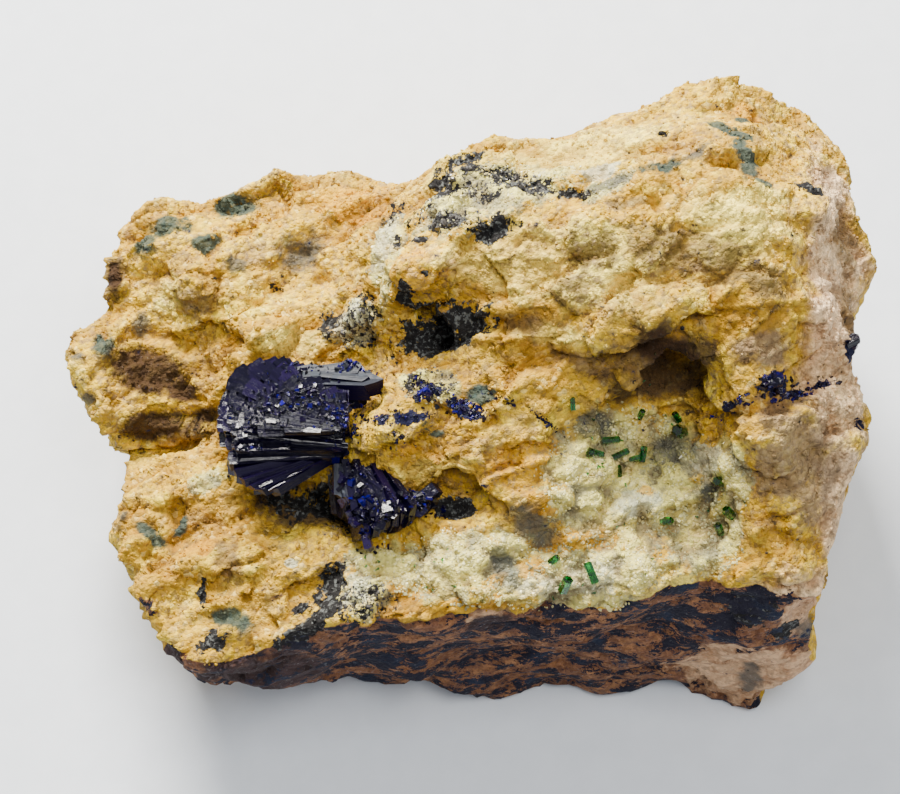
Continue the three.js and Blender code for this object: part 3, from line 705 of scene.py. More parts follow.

# %% [markdown]
# ## The rock's finish
# One material covers the whole block, because one block it is. It starts from ochre that drifts between
# rusty, yellow and pale, and then lays each kind of stone over it where its mask says, from the widest to the
# smallest, with painted shade where the recess, umber and mauve masks say. Creases and hollows are darker:
# painted shade, and some of the dust and iron that gather there. The surface is dull, with a bump of sugary
# grain, and tiny spots of it are smoother, so that they glint.

# %% Rock material
OCHRES = {
    "rust": (0.52, 0.29, 0.016), "yellow": (0.85, 0.545, 0.017), "pale": (0.92, 0.69, 0.055),
    "olive": (0.33, 0.22, 0.065), "grit": (0.33, 0.225, 0.12), "salt": (0.94, 0.83, 0.36),
}
# the recess, umber and mauve colours are painted shade, not stone
STONES = {
    "cream": (0.98, 0.79, 0.15), "pink": (0.90, 0.64, 0.40), "brown": (0.20, 0.12, 0.036),
    "drab": (0.17, 0.115, 0.036), "honey": (0.72, 0.40, 0.015), "umber_shade": (0.034, 0.014, 0.004),
    "rosy": (0.36, 0.21, 0.13), "taupe": (0.25, 0.17, 0.10), "druse": (0.72, 0.64, 0.18),
    "orange": (0.68, 0.35, 0.008), "quartz": (0.32, 0.285, 0.15), "white": (0.64, 0.645, 0.43),
    "front": (0.17, 0.075, 0.04), "mauve_shade": (0.042, 0.023, 0.024), "bare": (0.32, 0.15, 0.065),
    "tan": (0.60, 0.38, 0.22), "teal": (0.026, 0.056, 0.050), "ash": (0.10, 0.105, 0.10),
    "smoke": (0.055, 0.064, 0.062), "recess_shade": (0.05, 0.028, 0.015), "blue_black": (0.008, 0.009, 0.035),
    "black": (0.010, 0.009, 0.009), "stain": (0.010, 0.009, 0.020), "blue_stain": (0.012, 0.018, 0.040),
}
# painted shade colours for the hollows and the creases
HOLLOW_SHADE, CREASE_SHADE = (0.55, 0.40, 0.27), (0.42, 0.30, 0.22)  # these multiply the colour
# size of the rag in millimetres, its depth, and how soft the edge is
WIDE_PATCHES = {
    "cream": (2.2, 2.0, 0.3), "pink": (2.5, 2.0, 0.3), "orange": (1.2, 2.0, 0.2), "brown": (1.6, 2.0, 0.3),
    "taupe": (1.3, 2.4, 0.3), "drab": (0.9, 3.0, 0.3),
}
# the same, and how strong the stain or the painted shade is; recess and umber are painted shade
STAINS_AND_SHADES = {
    "recess_shade": (2.0, 1.4, 0.4, 0.9), "smoke": (1.6, 2.2, 0.4, 0.8), "teal": (1.3, 1.8, 0.25, 0.92),
    "umber_shade": (1.0, 0.8, 0.3, 0.97), "blue_black": (1.0, 2.6, 0.1, 1.0), "black": (1.1, 2.6, 0.08, 1.0),
}

rock_material, tree, shader = new_material("ochre_rock", Roughness=0.9, Specular_IOR_Level=0.3)
place = object_coordinates(tree)


def blotches(grain_mm, detail, roughness, *steps):
    """Blotches of noise in this material, between the two ends of a ramp."""
    return ramp(tree, noise(tree, place, grain_mm, detail, roughness), *steps)


def edged(kind, grain_mm, rag, soft):
    """Where a kind of stone lies on the rock, with its ragged edge."""
    return ragged(tree, place, attribute(tree, kind), grain_mm, rag, soft)


broad = noise(tree, place, 7, 4)
fine = noise(tree, place, 1.1, 6, 0.65)
grain = sugar_grain(tree, place, 0.36, 0.7)

ochre = mixed(tree, ramp(tree, broad, 0.36, 0.62), OCHRES["rust"], OCHRES["yellow"])
ochre = mixed(tree, blotches(3.1, 5, 0.6, 0.46, 0.7), ochre, OCHRES["pale"])
ochre = mixed(tree, ramp(tree, fine, 0.36, 0.62, 0.55, 0.0), ochre, OCHRES["rust"])
colour = mixed(tree, blotches(3.8, 6, 0.68, 0.5, 0.68, 0.0, 0.6), ochre, OCHRES["olive"])
colour = mixed(tree, ramp(tree, grain["Tone"], 0.90, 0.95, 0.0, 0.28), colour, OCHRES["salt"])
colour = mixed(tree, ramp(tree, grain["Tone"], 0.05, 0.10, 0.6, 0.0), colour, OCHRES["olive"])

for kind, rag_shape in WIDE_PATCHES.items():
    tone = STONES[kind]
    if kind == "pink":
        tone = mixed(tree, blotches(1.6, 6, 0.75, 0.5, 0.6, 0.0, 0.65), tone, STONES["rosy"])
    colour = mixed(tree, times(tree, edged(kind, *rag_shape), 0.85), colour, tone)

gritty = times(tree, ramp(tree, broad, 0.38, 0.58), blotches(0.5, 3, 0.7, 0.48, 0.6))
colour = mixed(tree, times(tree, gritty, 0.6), colour, OCHRES["grit"])

on_lump = math_node(tree, "MULTIPLY_ADD", noise(tree, place, 2.2, 5, 0.6), 1.6, attribute(tree, "lumps"))
druse_tone = mixed(tree, ramp(tree, on_lump, 0.75, 1.5), STONES["quartz"], STONES["druse"])
colour = mixed(tree, edged("quartz", 1.5, 1.8, 0.16), colour, druse_tone)
colour = mixed(tree, times(tree, edged("white", 1.0, 2.0, 0.16), 0.8), colour, STONES["white"])
colour = mixed(tree, times(tree, edged("honey", 0.9, 1.6, 0.2), 0.8), colour, STONES["honey"])

tan_mask, mauve_shade_mask = edged("tan", 1.8, 1.6, 0.12), edged("mauve_shade", 2.4, 1.6, 0.2)
front_tone = mixed(tree, blotches(1.3, 6, 0.8, 0.44, 0.62), STONES["front"], STONES["bare"])
mottled_tan = mixed(tree, blotches(1.5, 5, 0.7, 0.5, 0.62, 0.0, 0.6), STONES["tan"], STONES["bare"])
front_tone = mixed(tree, tan_mask, front_tone, mottled_tan)
# painted shade: the mauve mask darkens the lower left of the front face
front_tone = mixed(tree, mauve_shade_mask, front_tone, STONES["mauve_shade"])
colour = mixed(tree, edged("front", 1.4, 0.5, 0.1), colour, front_tone)

# painted shade: the hollows are darkened by multiplying the colour
hollow = times(tree, attribute(tree, "hollow"), 0.6)
colour = mixed(tree, hollow, colour, mixed(tree, 1.0, colour, HOLLOW_SHADE, "MULTIPLY"))
tone_step = ramp(tree, grain["Tone"], 0.0, 1.0, 0.80, 1.17)
colour = node(tree, "ShaderNodeVectorMath", {"operation": "SCALE"}, Vector=colour, Scale=tone_step).outputs[0]

# painted shade: the creases between chunks are darkened the same way
crease = ramp(tree, times(tree, attribute(tree, "crease"), fine), 0.2, 0.55, 0.0, 0.4)
colour = mixed(tree, crease, colour, mixed(tree, 1.0, colour, CREASE_SHADE, "MULTIPLY"))

for kind, (*rag_shape, strength) in STAINS_AND_SHADES.items():
    tone = STONES[kind]
    if kind == "black":
        tone = mixed(tree, blotches(0.4, 3, 0.6, 0.52, 0.62), tone, STONES["ash"])
    colour = mixed(tree, times(tree, edged(kind, *rag_shape), strength), colour, tone)
speckle = times(tree, attribute(tree, "speckled"), blotches(0.8, 5, 0.7, 0.505, 0.56))
colour = mixed(tree, ramp(tree, speckle, 0.25, 0.45), colour, STONES["black"])

streaks = (0.62, 1.0, 1.25)  # the stain's blotches are drawn out by these, as streaks
streaked = node(tree, "ShaderNodeVectorMath", {"operation": "MULTIPLY"}, i0=place, i1=streaks).outputs[0]
unstained = math_node(tree, "MAXIMUM", tan_mask, times(tree, mauve_shade_mask, 0.3))
bare = math_node(tree, "MULTIPLY_ADD", unstained, -0.25, noise(tree, streaked, 1.8, 6, 0.8, 0.1))
stained = ramp(tree, times(tree, attribute(tree, "front"), ramp(tree, bare, 0.458, 0.522)), 0.4, 0.6)
stain = mixed(tree, ramp(tree, noise(tree, place, 3.2, 4), 0.52, 0.66), STONES["stain"], STONES["blue_stain"])
colour = mixed(tree, stained, colour, stain)
pepper = ramp(tree, noise(tree, place, 0.9, 3), 0.70, 0.74)
colour = mixed(tree, times(tree, pepper, 0.75), colour, STONES["black"])

tree.links.new(colour, shader.inputs["Base Color"])
glint = ramp(tree, noise(tree, place, 0.35, 2), 0.62, 0.68, 0.92, 0.45)
tree.links.new(glint, shader.inputs["Roughness"])
height = math_node(tree, "MULTIPLY_ADD", fine, 0.8, grain["Height"])
tree.links.new(bump(tree, height, 0.9, 0.22), shader.inputs["Normal"])

rock.data.materials.clear()
rock.data.materials.append(rock_material)
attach(rock, "root")
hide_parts("matrix")
print("rock material:", len(tree.nodes), "nodes")

# %% [markdown]
# ## Loose grains
# Close up, the block is covered with crumbs and tiny crystals, far too many to place by hand. We make one
# small shape with an operator, and copy it many times with arrays: each copy gets its own place, turn and
# size. A grain has at most twenty faces, because it is only a few tenths of a millimetre wide.

# %% Copies of a small shape
def shape_arrays(build):
    """Vertices and faces of a small shape; build is a function that fills a bmesh."""
    bm = bmesh.new()
    build(bm)
    bm.verts.ensure_lookup_table()
    points = np.array([v.co[:] for v in bm.verts])
    faces = [[v.index for v in f.verts] for f in bm.faces]
    bm.free()
    return points, faces


def random_turns(count, random):
    """Rotation matrices that point anywhere."""
    q = random.normal(size=(count, 4))
    w, x, y, z = (q / np.linalg.norm(q, axis=1, keepdims=True)).T
    rows = [[1 - 2 * (y * y + z * z), 2 * (x * y - w * z), 2 * (x * z + w * y)],
            [2 * (x * y + w * z), 1 - 2 * (x * x + z * z), 2 * (y * z - w * x)],
            [2 * (x * z - w * y), 2 * (y * z + w * x), 1 - 2 * (x * x + y * y)]]
    return np.array(rows).transpose(2, 0, 1)


def copies(name, build, places, sizes, turns, per_copy=None, finishes=None):
    """One mesh of many copies of a shape. Places and sizes are in millimetres, one row for each copy."""
    points, faces = shape_arrays(build)
    moved = np.einsum("nij,nkj->nki", turns, points[None] * sizes[:, None, :]) + places[:, None, :]
    count = len(points)
    all_faces = [[i + count * n for i in face] for n in range(len(places)) for face in faces]
    mesh = bpy.data.meshes.new(name)
    mesh.from_pydata((moved.reshape(-1, 3) * MM).tolist(), [], all_faces)
    for label, values in (per_copy or {}).items():
        write_mask(mesh, label, np.repeat(values, count))
    if finishes is not None:
        mesh.polygons.foreach_set("material_index", np.repeat(finishes, len(faces)).astype(np.int32))
    return added(name, mesh)


def face_arrays(mesh):
    """Middles in millimetres, normals and areas of a mesh's faces."""
    total = len(mesh.polygons)
    middles, normals, areas = np.empty(total * 3), np.empty(total * 3), np.empty(total)
    mesh.polygons.foreach_get("center", middles)
    mesh.polygons.foreach_get("normal", normals)
    mesh.polygons.foreach_get("area", areas)
    return middles.reshape(-1, 3) * 1000, normals.reshape(-1, 3), areas * 1e6


def scattered(weights, count, random):
    """Picks faces of the rock by weight; returns a random point close to each, its normal and its masks."""
    chosen = random.choice(len(weights), size=count, p=weights / weights.sum())
    spread = np.sqrt(rock_areas[chosen])[:, None] * random.uniform(-0.5, 0.5, (count, 3))
    normals = rock_normals[chosen]
    spread -= (spread * normals).sum(axis=1)[:, None] * normals
    here = {name: values[chosen] for name, values in face_masks.items()}
    return rock_middles[chosen] + spread, normals, here


def crumb(bm):
    bmesh.ops.create_icosphere(bm, subdivisions=1, radius=0.5)


def quartz_point(bm):
    bmesh.ops.create_cone(bm, cap_ends=True, segments=6, radius1=0.5, radius2=0.16, depth=1)


rock_middles, rock_normals, rock_areas = face_arrays(rock.data)
on_top = rock_areas * smooth(rock_normals[:, 2], 0.05, 0.5) * smooth(rock_middles[:, 2], 12, 16)
first_corner = np.array([p.vertices[0] for p in rock.data.polygons])
face_masks = {name: values[first_corner] for name, values in masks.items()}
print("faces to scatter on:", len(on_top), "top area:", round(float(on_top.sum())), "mm2")

# %% Limonite crumbs
random = np.random.default_rng(SEED + 1)
clustered = smooth(layered_noise(rock_middles, 2.6, 3, 12.3), 0.42, 0.66)
weights = on_top * (0.25 + clustered) * (1 - 0.8 * face_masks["quartz"]) * (1 - 0.9 * face_masks["front"])
CRUMBS = 8200
places, normals, crumb_masks = scattered(weights, CRUMBS, random)
size = random.uniform(0.13, 0.28, CRUMBS) * (1 + 1.4 * random.random(CRUMBS) ** 8)
sizes = size[:, None] * random.uniform(0.6, 1.2, (CRUMBS, 3))
places = places + normals * (0.02 * size)[:, None]
crumbs = copies("limonite_crumbs", crumb, places, sizes, random_turns(CRUMBS, random), crumb_masks)
crumbs.data.materials.append(rock_material)
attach(crumbs, "root")
print("limonite crumbs:", len(places))

# %% [markdown]
# ## Quartz druse
# The open pocket, the trough behind it and the lips of both are lined with sugary quartz: short points that
# stand in every direction. Some are milky, some are stained cream, some are sooty where the rock is black or
# smoky, and those in the recess, the dark hole and the crevice are darkened with painted shade; a few are
# clean enough to glint. They get their own dull-glassy material, with a tone of their own for each point.

# %% Quartz grains
QUARTZES = {
    "grey": (0.22, 0.20, 0.10), "milk": (0.78, 0.71, 0.30), "cream": (0.74, 0.54, 0.17),
    "soot_and_shade": (0.05, 0.045, 0.04),
}
quartz_material, tree, shader = new_material("milky_quartz", Roughness=0.38, IOR=1.54)
tone = attribute(tree, "tone")
milky = mixed(tree, ramp(tree, tone, 0.1, 1.2), QUARTZES["grey"], QUARTZES["milk"])
creamy = ramp(tree, noise(tree, object_coordinates(tree), 2.2, 3), 0.5, 0.68, 0.0, 0.7)
milky = mixed(tree, creamy, milky, QUARTZES["cream"])
milky = mixed(tree, attribute(tree, "soot_and_shade"), milky, QUARTZES["soot_and_shade"])
tree.links.new(milky, shader.inputs["Base Color"])
tree.links.new(ramp(tree, tone, 0.55, 0.95, 0.6, 0.22), shader.inputs["Roughness"])

# shape, number, and smallest and largest size
QUARTZ_GRAINS = {
    "quartz_druse": (crumb, 6800, (0.13, 0.3)), "quartz_points": (quartz_point, 900, (0.14, 0.32)),
}
weights = on_top * (1 - face_masks["front"]) * smooth(face_masks["quartz"], 0.25, 0.6)
weights = weights * (0.35 + smooth(layered_noise(rock_middles, 1.6, 2, 3.1), 0.35, 0.6))
for name, (build, count, (small, large)) in QUARTZ_GRAINS.items():
    places, normals, here = scattered(weights, count, random)
    size = random.uniform(small, large, count) * (1 + 1.2 * random.random(count) ** 10)
    sizes = size[:, None] * np.array([0.9, 0.9, 1.2]) * random.uniform(0.7, 1.2, (count, 3))
    places = places - normals * (0.22 * size)[:, None]
    # soot from black and smoky stains, and painted shade in the recess, the dark hole and the crevice
    soot_and_shade = smooth(np.maximum(here["black"], here["speckled"]), 0.3, 0.6) * (random.random(count) < 0.8)
    soot_and_shade = np.maximum(soot_and_shade, 0.75 * smooth(np.maximum(here["smoke"], here["recess_shade"]), 0.2, 0.8))
    grains = copies(name, build, places, sizes, random_turns(count, random),
                    {"tone": 0.7 * here["lumps"] + 0.5 * random.random(count), "soot_and_shade": soot_and_shade})
    grains.data.materials.append(quartz_material)
    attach(grains, "root")
    print(name, count)

# %% [markdown]
# ## Azurite
# Azurite grows as flat blades with fine lines along them. Thick crystals are nearly black, with violet on
# some faces, and thin chips let enough light through to flash bright blue. Old faces have a grey-blue
# weathered skin, and some shaded sides are dark but dull. So there are four materials. All of them take their
# lines from the crystal's own UV map, which counts millimetres across and along the blade, so the lines
# always follow the crystal.

# %% The striated_face node group
STRIATED, given, result = new_group(
    "striated_face",
    [VECTOR, ("Lines", FLOAT, 9.0)],
    [("Height", FLOAT), ("Streak", FLOAT)],
)
parts = node(STRIATED, "ShaderNodeSeparateXYZ", None, Vector=given["Vector"]).outputs
across, along = times(STRIATED, parts[0], given["Lines"]), times(STRIATED, parts[1], 0.5)
stretched = node(STRIATED, "ShaderNodeCombineXYZ", None, X=across, Y=along).outputs[0]
flat = {"noise_dimensions": "2D"}
lines = node(STRIATED, "ShaderNodeTexNoise", flat, Vector=stretched, Scale=1.0, Detail=3.0)
broken = node(STRIATED, "ShaderNodeTexNoise", flat, Vector=given["Vector"], Scale=2.3, Detail=2.0)
line_height = math_node(STRIATED, "MULTIPLY_ADD", broken.outputs["Fac"], 0.6, lines.outputs["Fac"])
STRIATED.links.new(line_height, result["Height"])
STRIATED.links.new(lines.outputs["Fac"], result["Streak"])


CRUST = (0.07, 0.08, 0.095)  # the grey-blue crust of old faces


def azurite_material(name, deep, light, dust, lines, rough, shine=0.2):
    """Azurite from deep to light colour; dust is how much grey crust lies on it."""
    material, tree, shader = new_material(name, IOR=1.73, Specular_IOR_Level=shine)
    uv = node(tree, "ShaderNodeUVMap", {"uv_map": "crystal"}).outputs[0]
    face = node(tree, "ShaderNodeGroup", {"node_tree": STRIATED}, Vector=uv, Lines=lines).outputs
    colour = mixed(tree, ramp(tree, attribute(tree, "tint"), 0.35, 1.0), deep, light)
    colour = mixed(tree, ramp(tree, face["Streak"], 0.55, 0.72, 0.0, 0.5), colour, light)
    crust_noise = noise(tree, object_coordinates(tree), 0.8, 5, 0.7)
    crust = ramp(tree, crust_noise, 0.66 - 0.3 * dust, 0.74 - 0.3 * dust)
    colour = mixed(tree, times(tree, crust, 0.35 + 0.5 * dust), colour, CRUST)
    tree.links.new(colour, shader.inputs["Base Color"])
    tree.links.new(math_node(tree, "MULTIPLY_ADD", crust, 0.45, rough), shader.inputs["Roughness"])
    tree.links.new(bump(tree, face["Height"], 0.5, 0.07), shader.inputs["Normal"])
    return material


AZURITES = [
    azurite_material("azurite_dark", (0.0015, 0.001, 0.007), (0.007, 0.003, 0.025), 0.08, 9.0, 0.12),
    azurite_material("azurite_bright", (0.002, 0.0005, 0.05), (0.006, 0.001, 0.13), 0.0, 4.0, 0.12),
    azurite_material("azurite_weathered", (0.006, 0.007, 0.016), (0.026, 0.029, 0.038), 0.4, 7.0, 0.42, 0.09),
    azurite_material("azurite_shaded", (0.0015, 0.001, 0.008), (0.005, 0.003, 0.022), 0.05, 9.0, 0.3, 0.05),
]
DARK, BRIGHT, WEATHERED, SHADED = range(4)
print("azurite materials:", [m.name for m in AZURITES])

# %% [markdown]
# ## One blade
# Every large crystal is one blade: a box that starts at its root, narrows towards it, and ends in a blunt
# point. Splitting it across its width and shifting the split lines up or down makes the ribs that catch the
# light. Its direction is a swing seen from above, a rise, and a roll about its length.

# %% Blades
MILLIMETRES = Matrix.Scale(MM, 4)


def turned(root, swing, rise, roll):
    """A matrix that puts a crystal's length along a direction, from a root in millimetres."""
    return (Matrix.Translation(root) @ Matrix.Rotation(math.radians(swing), 4, "Z")
            @ Matrix.Rotation(-math.radians(rise), 4, "Y") @ Matrix.Rotation(math.radians(roll), 4, "X"))


def blade(grown, root, swing, rise, roll, length, width, thick, finish=DARK, top=None, ribs=4, pinch=0.45,
          point=0.4):
    """Adds one crystal to the bmesh grown. top is the finish of its upper faces, pinch its width at the root
    as a share of the full width, and point how far its end tapers."""
    bm = bmesh.new()
    bmesh.ops.create_cube(bm, size=1)
    wide = [e for e in bm.edges if abs(e.verts[0].co.y - e.verts[1].co.y) > 0.5]
    if ribs:
        bmesh.ops.subdivide_edges(bm, edges=wide, cuts=ribs)
    lifts = {}
    for v in bm.verts:
        line = (round(v.co.y, 3), v.co.z > 0)
        lifts.setdefault(line, (random.uniform(-0.13, 0.1) if ribs else 0, random.uniform(0, 1)))
        lift, back = lifts[line]
        end = v.co.x > 0
        v.co.z += lift * (1 if v.co.z > 0 else -1)
        v.co.x = 1 - point * width / length * (abs(v.co.y) * 1.3 + 0.45 * back) if end else 0
        v.co.y *= 1 if end else pinch
        v.co = (v.co.x * length, v.co.y * width, v.co.z * thick)
    uv = bm.loops.layers.uv.new("crystal")
    tint = bm.verts.layers.float.new("tint")
    shift, shade = random.uniform(0, 50), random.random()
    bm.normal_update()
    for face in bm.faces:
        across = 1 if abs(face.normal.z) > 0.6 else 2
        upper = face.normal.z > 0.6
        face.material_index = top if top is not None and upper else finish
        for loop in face.loops:
            loop[uv].uv = (loop.vert.co[across] + shift, loop.vert.co.x)
    for v in bm.verts:
        v[tint] = shade
    bmesh.ops.transform(bm, verts=bm.verts, matrix=MILLIMETRES @ turned(Vector(root), swing, rise, roll))
    bm.to_mesh(passing)
    bm.free()
    grown.from_mesh(passing)


def new_growth():
    """An empty bmesh that keeps each crystal's lines and tint."""
    grown = bmesh.new()
    grown.loops.layers.uv.new("crystal")
    grown.verts.layers.float.new("tint")
    return grown


def finished_growth(name, grown, replaced):
    """Turns a bmesh of crystals into a piece that takes the place of its CAD node."""
    piece = mesh_object(name, grown)
    for material in AZURITES:
        piece.data.materials.append(material)
    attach(piece, "root")
    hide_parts(replaced)
    print(name, "has", len(piece.data.polygons), "faces")
    return piece


passing = bpy.data.meshes.new("passing")

# %% Facets that flash
FLASH = Vector((-0.149, 0.26, 0.954))  # halfway between the window and the eye
DROP_HEIGHT = 60  # millimetres; above every piece


def add_glints(grown, glints):
    """Lays thin plates on the crystals, turned so that each throws the window's light at the eye."""
    below = BVHTree.FromBMesh(grown)
    for (x, y), swing, length, width in glints:
        hit = below.ray_cast(Vector((x, y, DROP_HEIGHT)) * MM, Vector((0, 0, -1)))[0]
        if hit is None:
            print("no crystal below", x, y)
            continue
        a = math.radians(swing)
        facing = Matrix.Rotation(-a, 3, "Z") @ FLASH
        rise, roll = math.degrees(math.atan2(-facing.x, facing.z)), math.degrees(-math.asin(facing.y))
        middle = hit / MM + Vector((0, 0, 0.02))
        root = middle - 0.5 * length * Vector((math.cos(a), math.sin(a), math.sin(math.radians(rise))))
        blade(grown, root, swing, rise, roll, length, width, 0.3, ribs=0, pinch=0.8, point=0.3)


# %% [markdown]
# ## The rosette
# Most blades of the rosette grow from one root at its right. Above is a thick sheaf: layers of flat blades,
# each layer shorter than the one below, so that their ends make curved steps round the left side. Long ribbed
# prisms lie in front of it, a fan of glassy blades hangs below them, and a weathered blade points right, at
# the back.

# %% Rosette
random = np.random.default_rng(SEED + 2)
ROSETTE_ROOT = (-9.0, -5.3, 22.8)
SHEAF_SWINGS = np.linspace(104, 176, 13)
SHEAF_REACH = ((104, 5.3), (122, 6.9), (137, 9.3), (146, 10.1), (155, 10.2), (170, 9.8), (180, 9.1))
SHEAF_LOW, SHEAF_HIGH, SHEAF_LAYERS = 20.4, 25.7, 13
DOME_FOOT, DOME_HEIGHT = 21.4, 5.0  # the layers shorten above the foot, as a dome does

rosette = new_growth()
for level in np.linspace(SHEAF_LOW, SHEAF_HIGH, SHEAF_LAYERS):
    dome = math.sqrt(1 - (max(level - DOME_FOOT, 0) / DOME_HEIGHT) ** 2)
    turn = random.uniform(-4, 4)
    for swing in SHEAF_SWINGS:
        reach = np.interp(swing + turn, *zip(*SHEAF_REACH)) * dome * random.uniform(0.94, 1.03)
        droop = 1.5 - 0.8 * (level - SHEAF_LOW)
        start = random.uniform(0, 2.4) * (level - SHEAF_LOW) / (SHEAF_HIGH - SHEAF_LOW)
        a = math.radians(swing + turn)
        root = (ROSETTE_ROOT[0] + start * math.cos(a), ROSETTE_ROOT[1] + start * math.sin(a),
                level + reach * math.sin(math.radians(droop)) * 0.6)
        blade(rosette, root, swing + turn, random.normal(-droop, 1.6), random.normal(0, 5), reach - start,
              1.5, 0.55, ribs=4, pinch=0.4 + 0.1 * start, point=0.22)

# each long prism: its root from the rosette's, swing, rise, roll, length, width and thickness
LONG_PRISMS = (
    ((-0.2, -0.9, 0.4), 180, 5, 14, 8.2, 1.4, 1.3), ((-0.3, -0.5, 1.1), 173, 5, 8, 7.4, 0.9, 0.8),
    ((-0.2, -0.8, 0.8), 177, 5, 30, 7.9, 0.8, 0.9), ((-1.2, -0.2, 1.6), 169, 4, -8, 6.0, 0.7, 0.5),
    ((0.1, -0.9, 1.0), 175, 7, 26, 4.8, 0.7, 0.6), ((-0.4, -1.2, 0.0), 184, 4, 20, 8.4, 1.2, 0.9),
)
for offset, swing, rise, roll, length, width, thick in LONG_PRISMS:
    root = Vector(ROSETTE_ROOT) + Vector(offset)
    blade(rosette, root, swing, rise, roll, length, width, thick, ribs=5, pinch=0.7, point=0.3)

FAN = ((191, 9.0), (196, 8.5), (200, 8.1), (205, 7.7), (209.5, 6.8))
for i, (swing, length) in enumerate(FAN):
    root = Vector(ROSETTE_ROOT) + Vector((0, -0.6, 0.2 - 0.1 * i))
    blade(rosette, root, swing, random.uniform(-5, -1), random.uniform(36, 46), length, 1.9, 0.7, ribs=3,
          pinch=0.35, point=0.45)

# root, swing, rise, roll, length, width, thickness and the finish of the upper faces
RIGHT_BLADE = (
    ((-13.3, -1.5, 24.2), 358, 4, -28, 7.2, 1.9, 1.6, WEATHERED),
    ((-12.2, -0.9, 24.8), 5, 3, -20, 4.7, 1.1, 0.6, WEATHERED),
    ((-10.8, -1.0, 25.1), 354, 2, -12, 3.7, 0.9, 0.5, WEATHERED),
    ((-12.8, -2.4, 23.5), 3, 2, -50, 5.7, 1.5, 1.3, SHADED),
    ((-12.4, -2.0, 24.2), 1, 2, -44, 5.0, 1.2, 0.8, SHADED),
    ((-14.2, -1.4, 24.7), 12, 2, -10, 4.0, 1.4, 0.6, WEATHERED),
)
for root, swing, rise, roll, length, width, thick, top in RIGHT_BLADE:
    blade(rosette, root, swing, rise, roll, length, width, thick, finish=SHADED, top=top, ribs=3, pinch=0.8,
          point=0.8)
blade(rosette, (-10.0, -4.5, 24.9), 48, 12, 10, 1.9, 1.2, 0.3, ribs=1, pinch=0.8)
blade(rosette, (-9.8, -5.0, 24.6), 70, 20, -30, 1.6, 0.9, 0.3, ribs=1, pinch=0.8)

# (x, y), swing, length and width of the facets that flash
ROSETTE_GLINTS = (
    ((-11.4, -5.6), 172, 1.4, 0.45), ((-14.8, -8.8), 25, 1.1, 0.22), ((-14.0, -9.0), 28, 1.4, 0.1),
    ((-12.0, -7.7), 26, 2.8, 0.13),
    ((-16.3, -5.5), 100, 0.5, 0.4), ((-15.8, -6.1), 10, 0.5, 0.35), ((-16.6, -6.4), 40, 0.4, 0.3),
    ((-14.4, -4.8), 170, 0.8, 0.35),
    ((-9.9, -6.4), 172, 1.2, 0.25), ((-14.6, -4.0), 20, 0.4, 0.25), ((-13.9, -3.6), 60, 0.35, 0.3),
    ((-16.9, -4.6), 80, 0.5, 0.3),
    ((-12.2, -2.3), 0, 0.35, 0.3), ((-11.6, -2.9), 40, 0.3, 0.3), ((-11.2, -2.2), 75, 0.4, 0.25),
    ((-13.4, -6.5), 178, 0.9, 0.2),
)
add_glints(rosette, ROSETTE_GLINTS)
rosette = finished_growth("azurite_rosette_blades", rosette, "azurite_rosette")

# %% [markdown]
# ## The lower cluster and the small groups
# Below the rosette, plates stand side by side in the hollow, a short arm of stubby crystals runs right, and
# small crystals are scattered over both.
# Small groups also sit in the seam of the tongue, at the right and on the far right edge. Each of their
# crystals is seated on the nearest point of the rock's skin.

# %% Lower cluster
cluster = new_growth()
for i in range(11):
    root = (-9.7 + 0.33 * i, -7.2 - 0.05 * i + random.uniform(-0.3, 0.3), 21.9 + random.uniform(-0.3, 0.3))
    length = 6.0 - 0.16 * i - 2.2 * max(2 - i, 0) / 2
    blade(cluster, root, 278 + 2.4 * i, random.uniform(-4, 8), random.uniform(60, 86), length, 3.0, 0.5,
          ribs=3, pinch=0.8, point=0.3)
for i in range(7):
    root = (-9.6 + 0.35 * i, -7.3 - 0.25 * i, 23.2)
    blade(cluster, root, 275 + 9 * i, random.uniform(-8, 8), random.uniform(-30, 40), 2.6, 1.1, 0.4,
          top=WEATHERED if i < 2 else None, ribs=3, pinch=0.7)
for i in range(9):
    root = (-6.4 + 0.36 * i, -10.6 + 0.09 * i + random.uniform(-0.3, 0.3), 22.5 + random.uniform(-0.4, 0.3))
    pose = random.uniform(-35, 35), random.uniform(-10, 12), random.uniform(0, 90)
    blade(cluster, root, *pose, 1.7, 1.2, 0.9, ribs=1, pinch=0.9)
for i in range(60):
    along = random.uniform(0, 0.82)
    root = (-8.9 + 2.8 * along + random.normal(0, 0.55), -8.2 - 4.6 * along + random.normal(0, 0.5),
            22.6 + random.uniform(-0.5, 0.7))
    pose = random.uniform(0, 360), random.uniform(0, 70), random.uniform(0, 90)
    sizes = random.uniform(0.6, 1.5), random.uniform(0.4, 1.0), random.uniform(0.25, 0.7)
    blade(cluster, root, *pose, *sizes, finish=BRIGHT if random.random() < 0.1 else DARK, ribs=1, pinch=0.9)
CLUSTER_GLINTS = (
    ((-5.9, -10.7), 20, 1.0, 0.9), ((-5.5, -11.3), 60, 0.5, 0.5), ((-7.9, -9.0), 40, 0.5, 0.3),
)
add_glints(cluster, CLUSTER_GLINTS)
cluster = finished_growth("azurite_cluster_blades", cluster, "azurite_lower_cluster")

# %% Small groups
# how many crystals, and their smallest and largest length
GROUPS = {
    "azurite_seam_crystals": (16, (0.4, 1.0)),
    "azurite_right_crystals": (18, (0.6, 1.4)),
    "azurite_edge_crystal": (8, (0.6, 1.3)),
}
SUNK = 0.1  # millimetres that the crystals are set into the rock's skin


def tree_of(*things):
    """One search tree for several meshes, to find points on them."""
    points, faces = [], []
    for thing in things:
        faces += [[i + len(points) for i in p.vertices] for p in thing.data.polygons]
        points += [v.co.copy() for v in thing.data.vertices]
    return BVHTree.FromPolygons(points, faces)


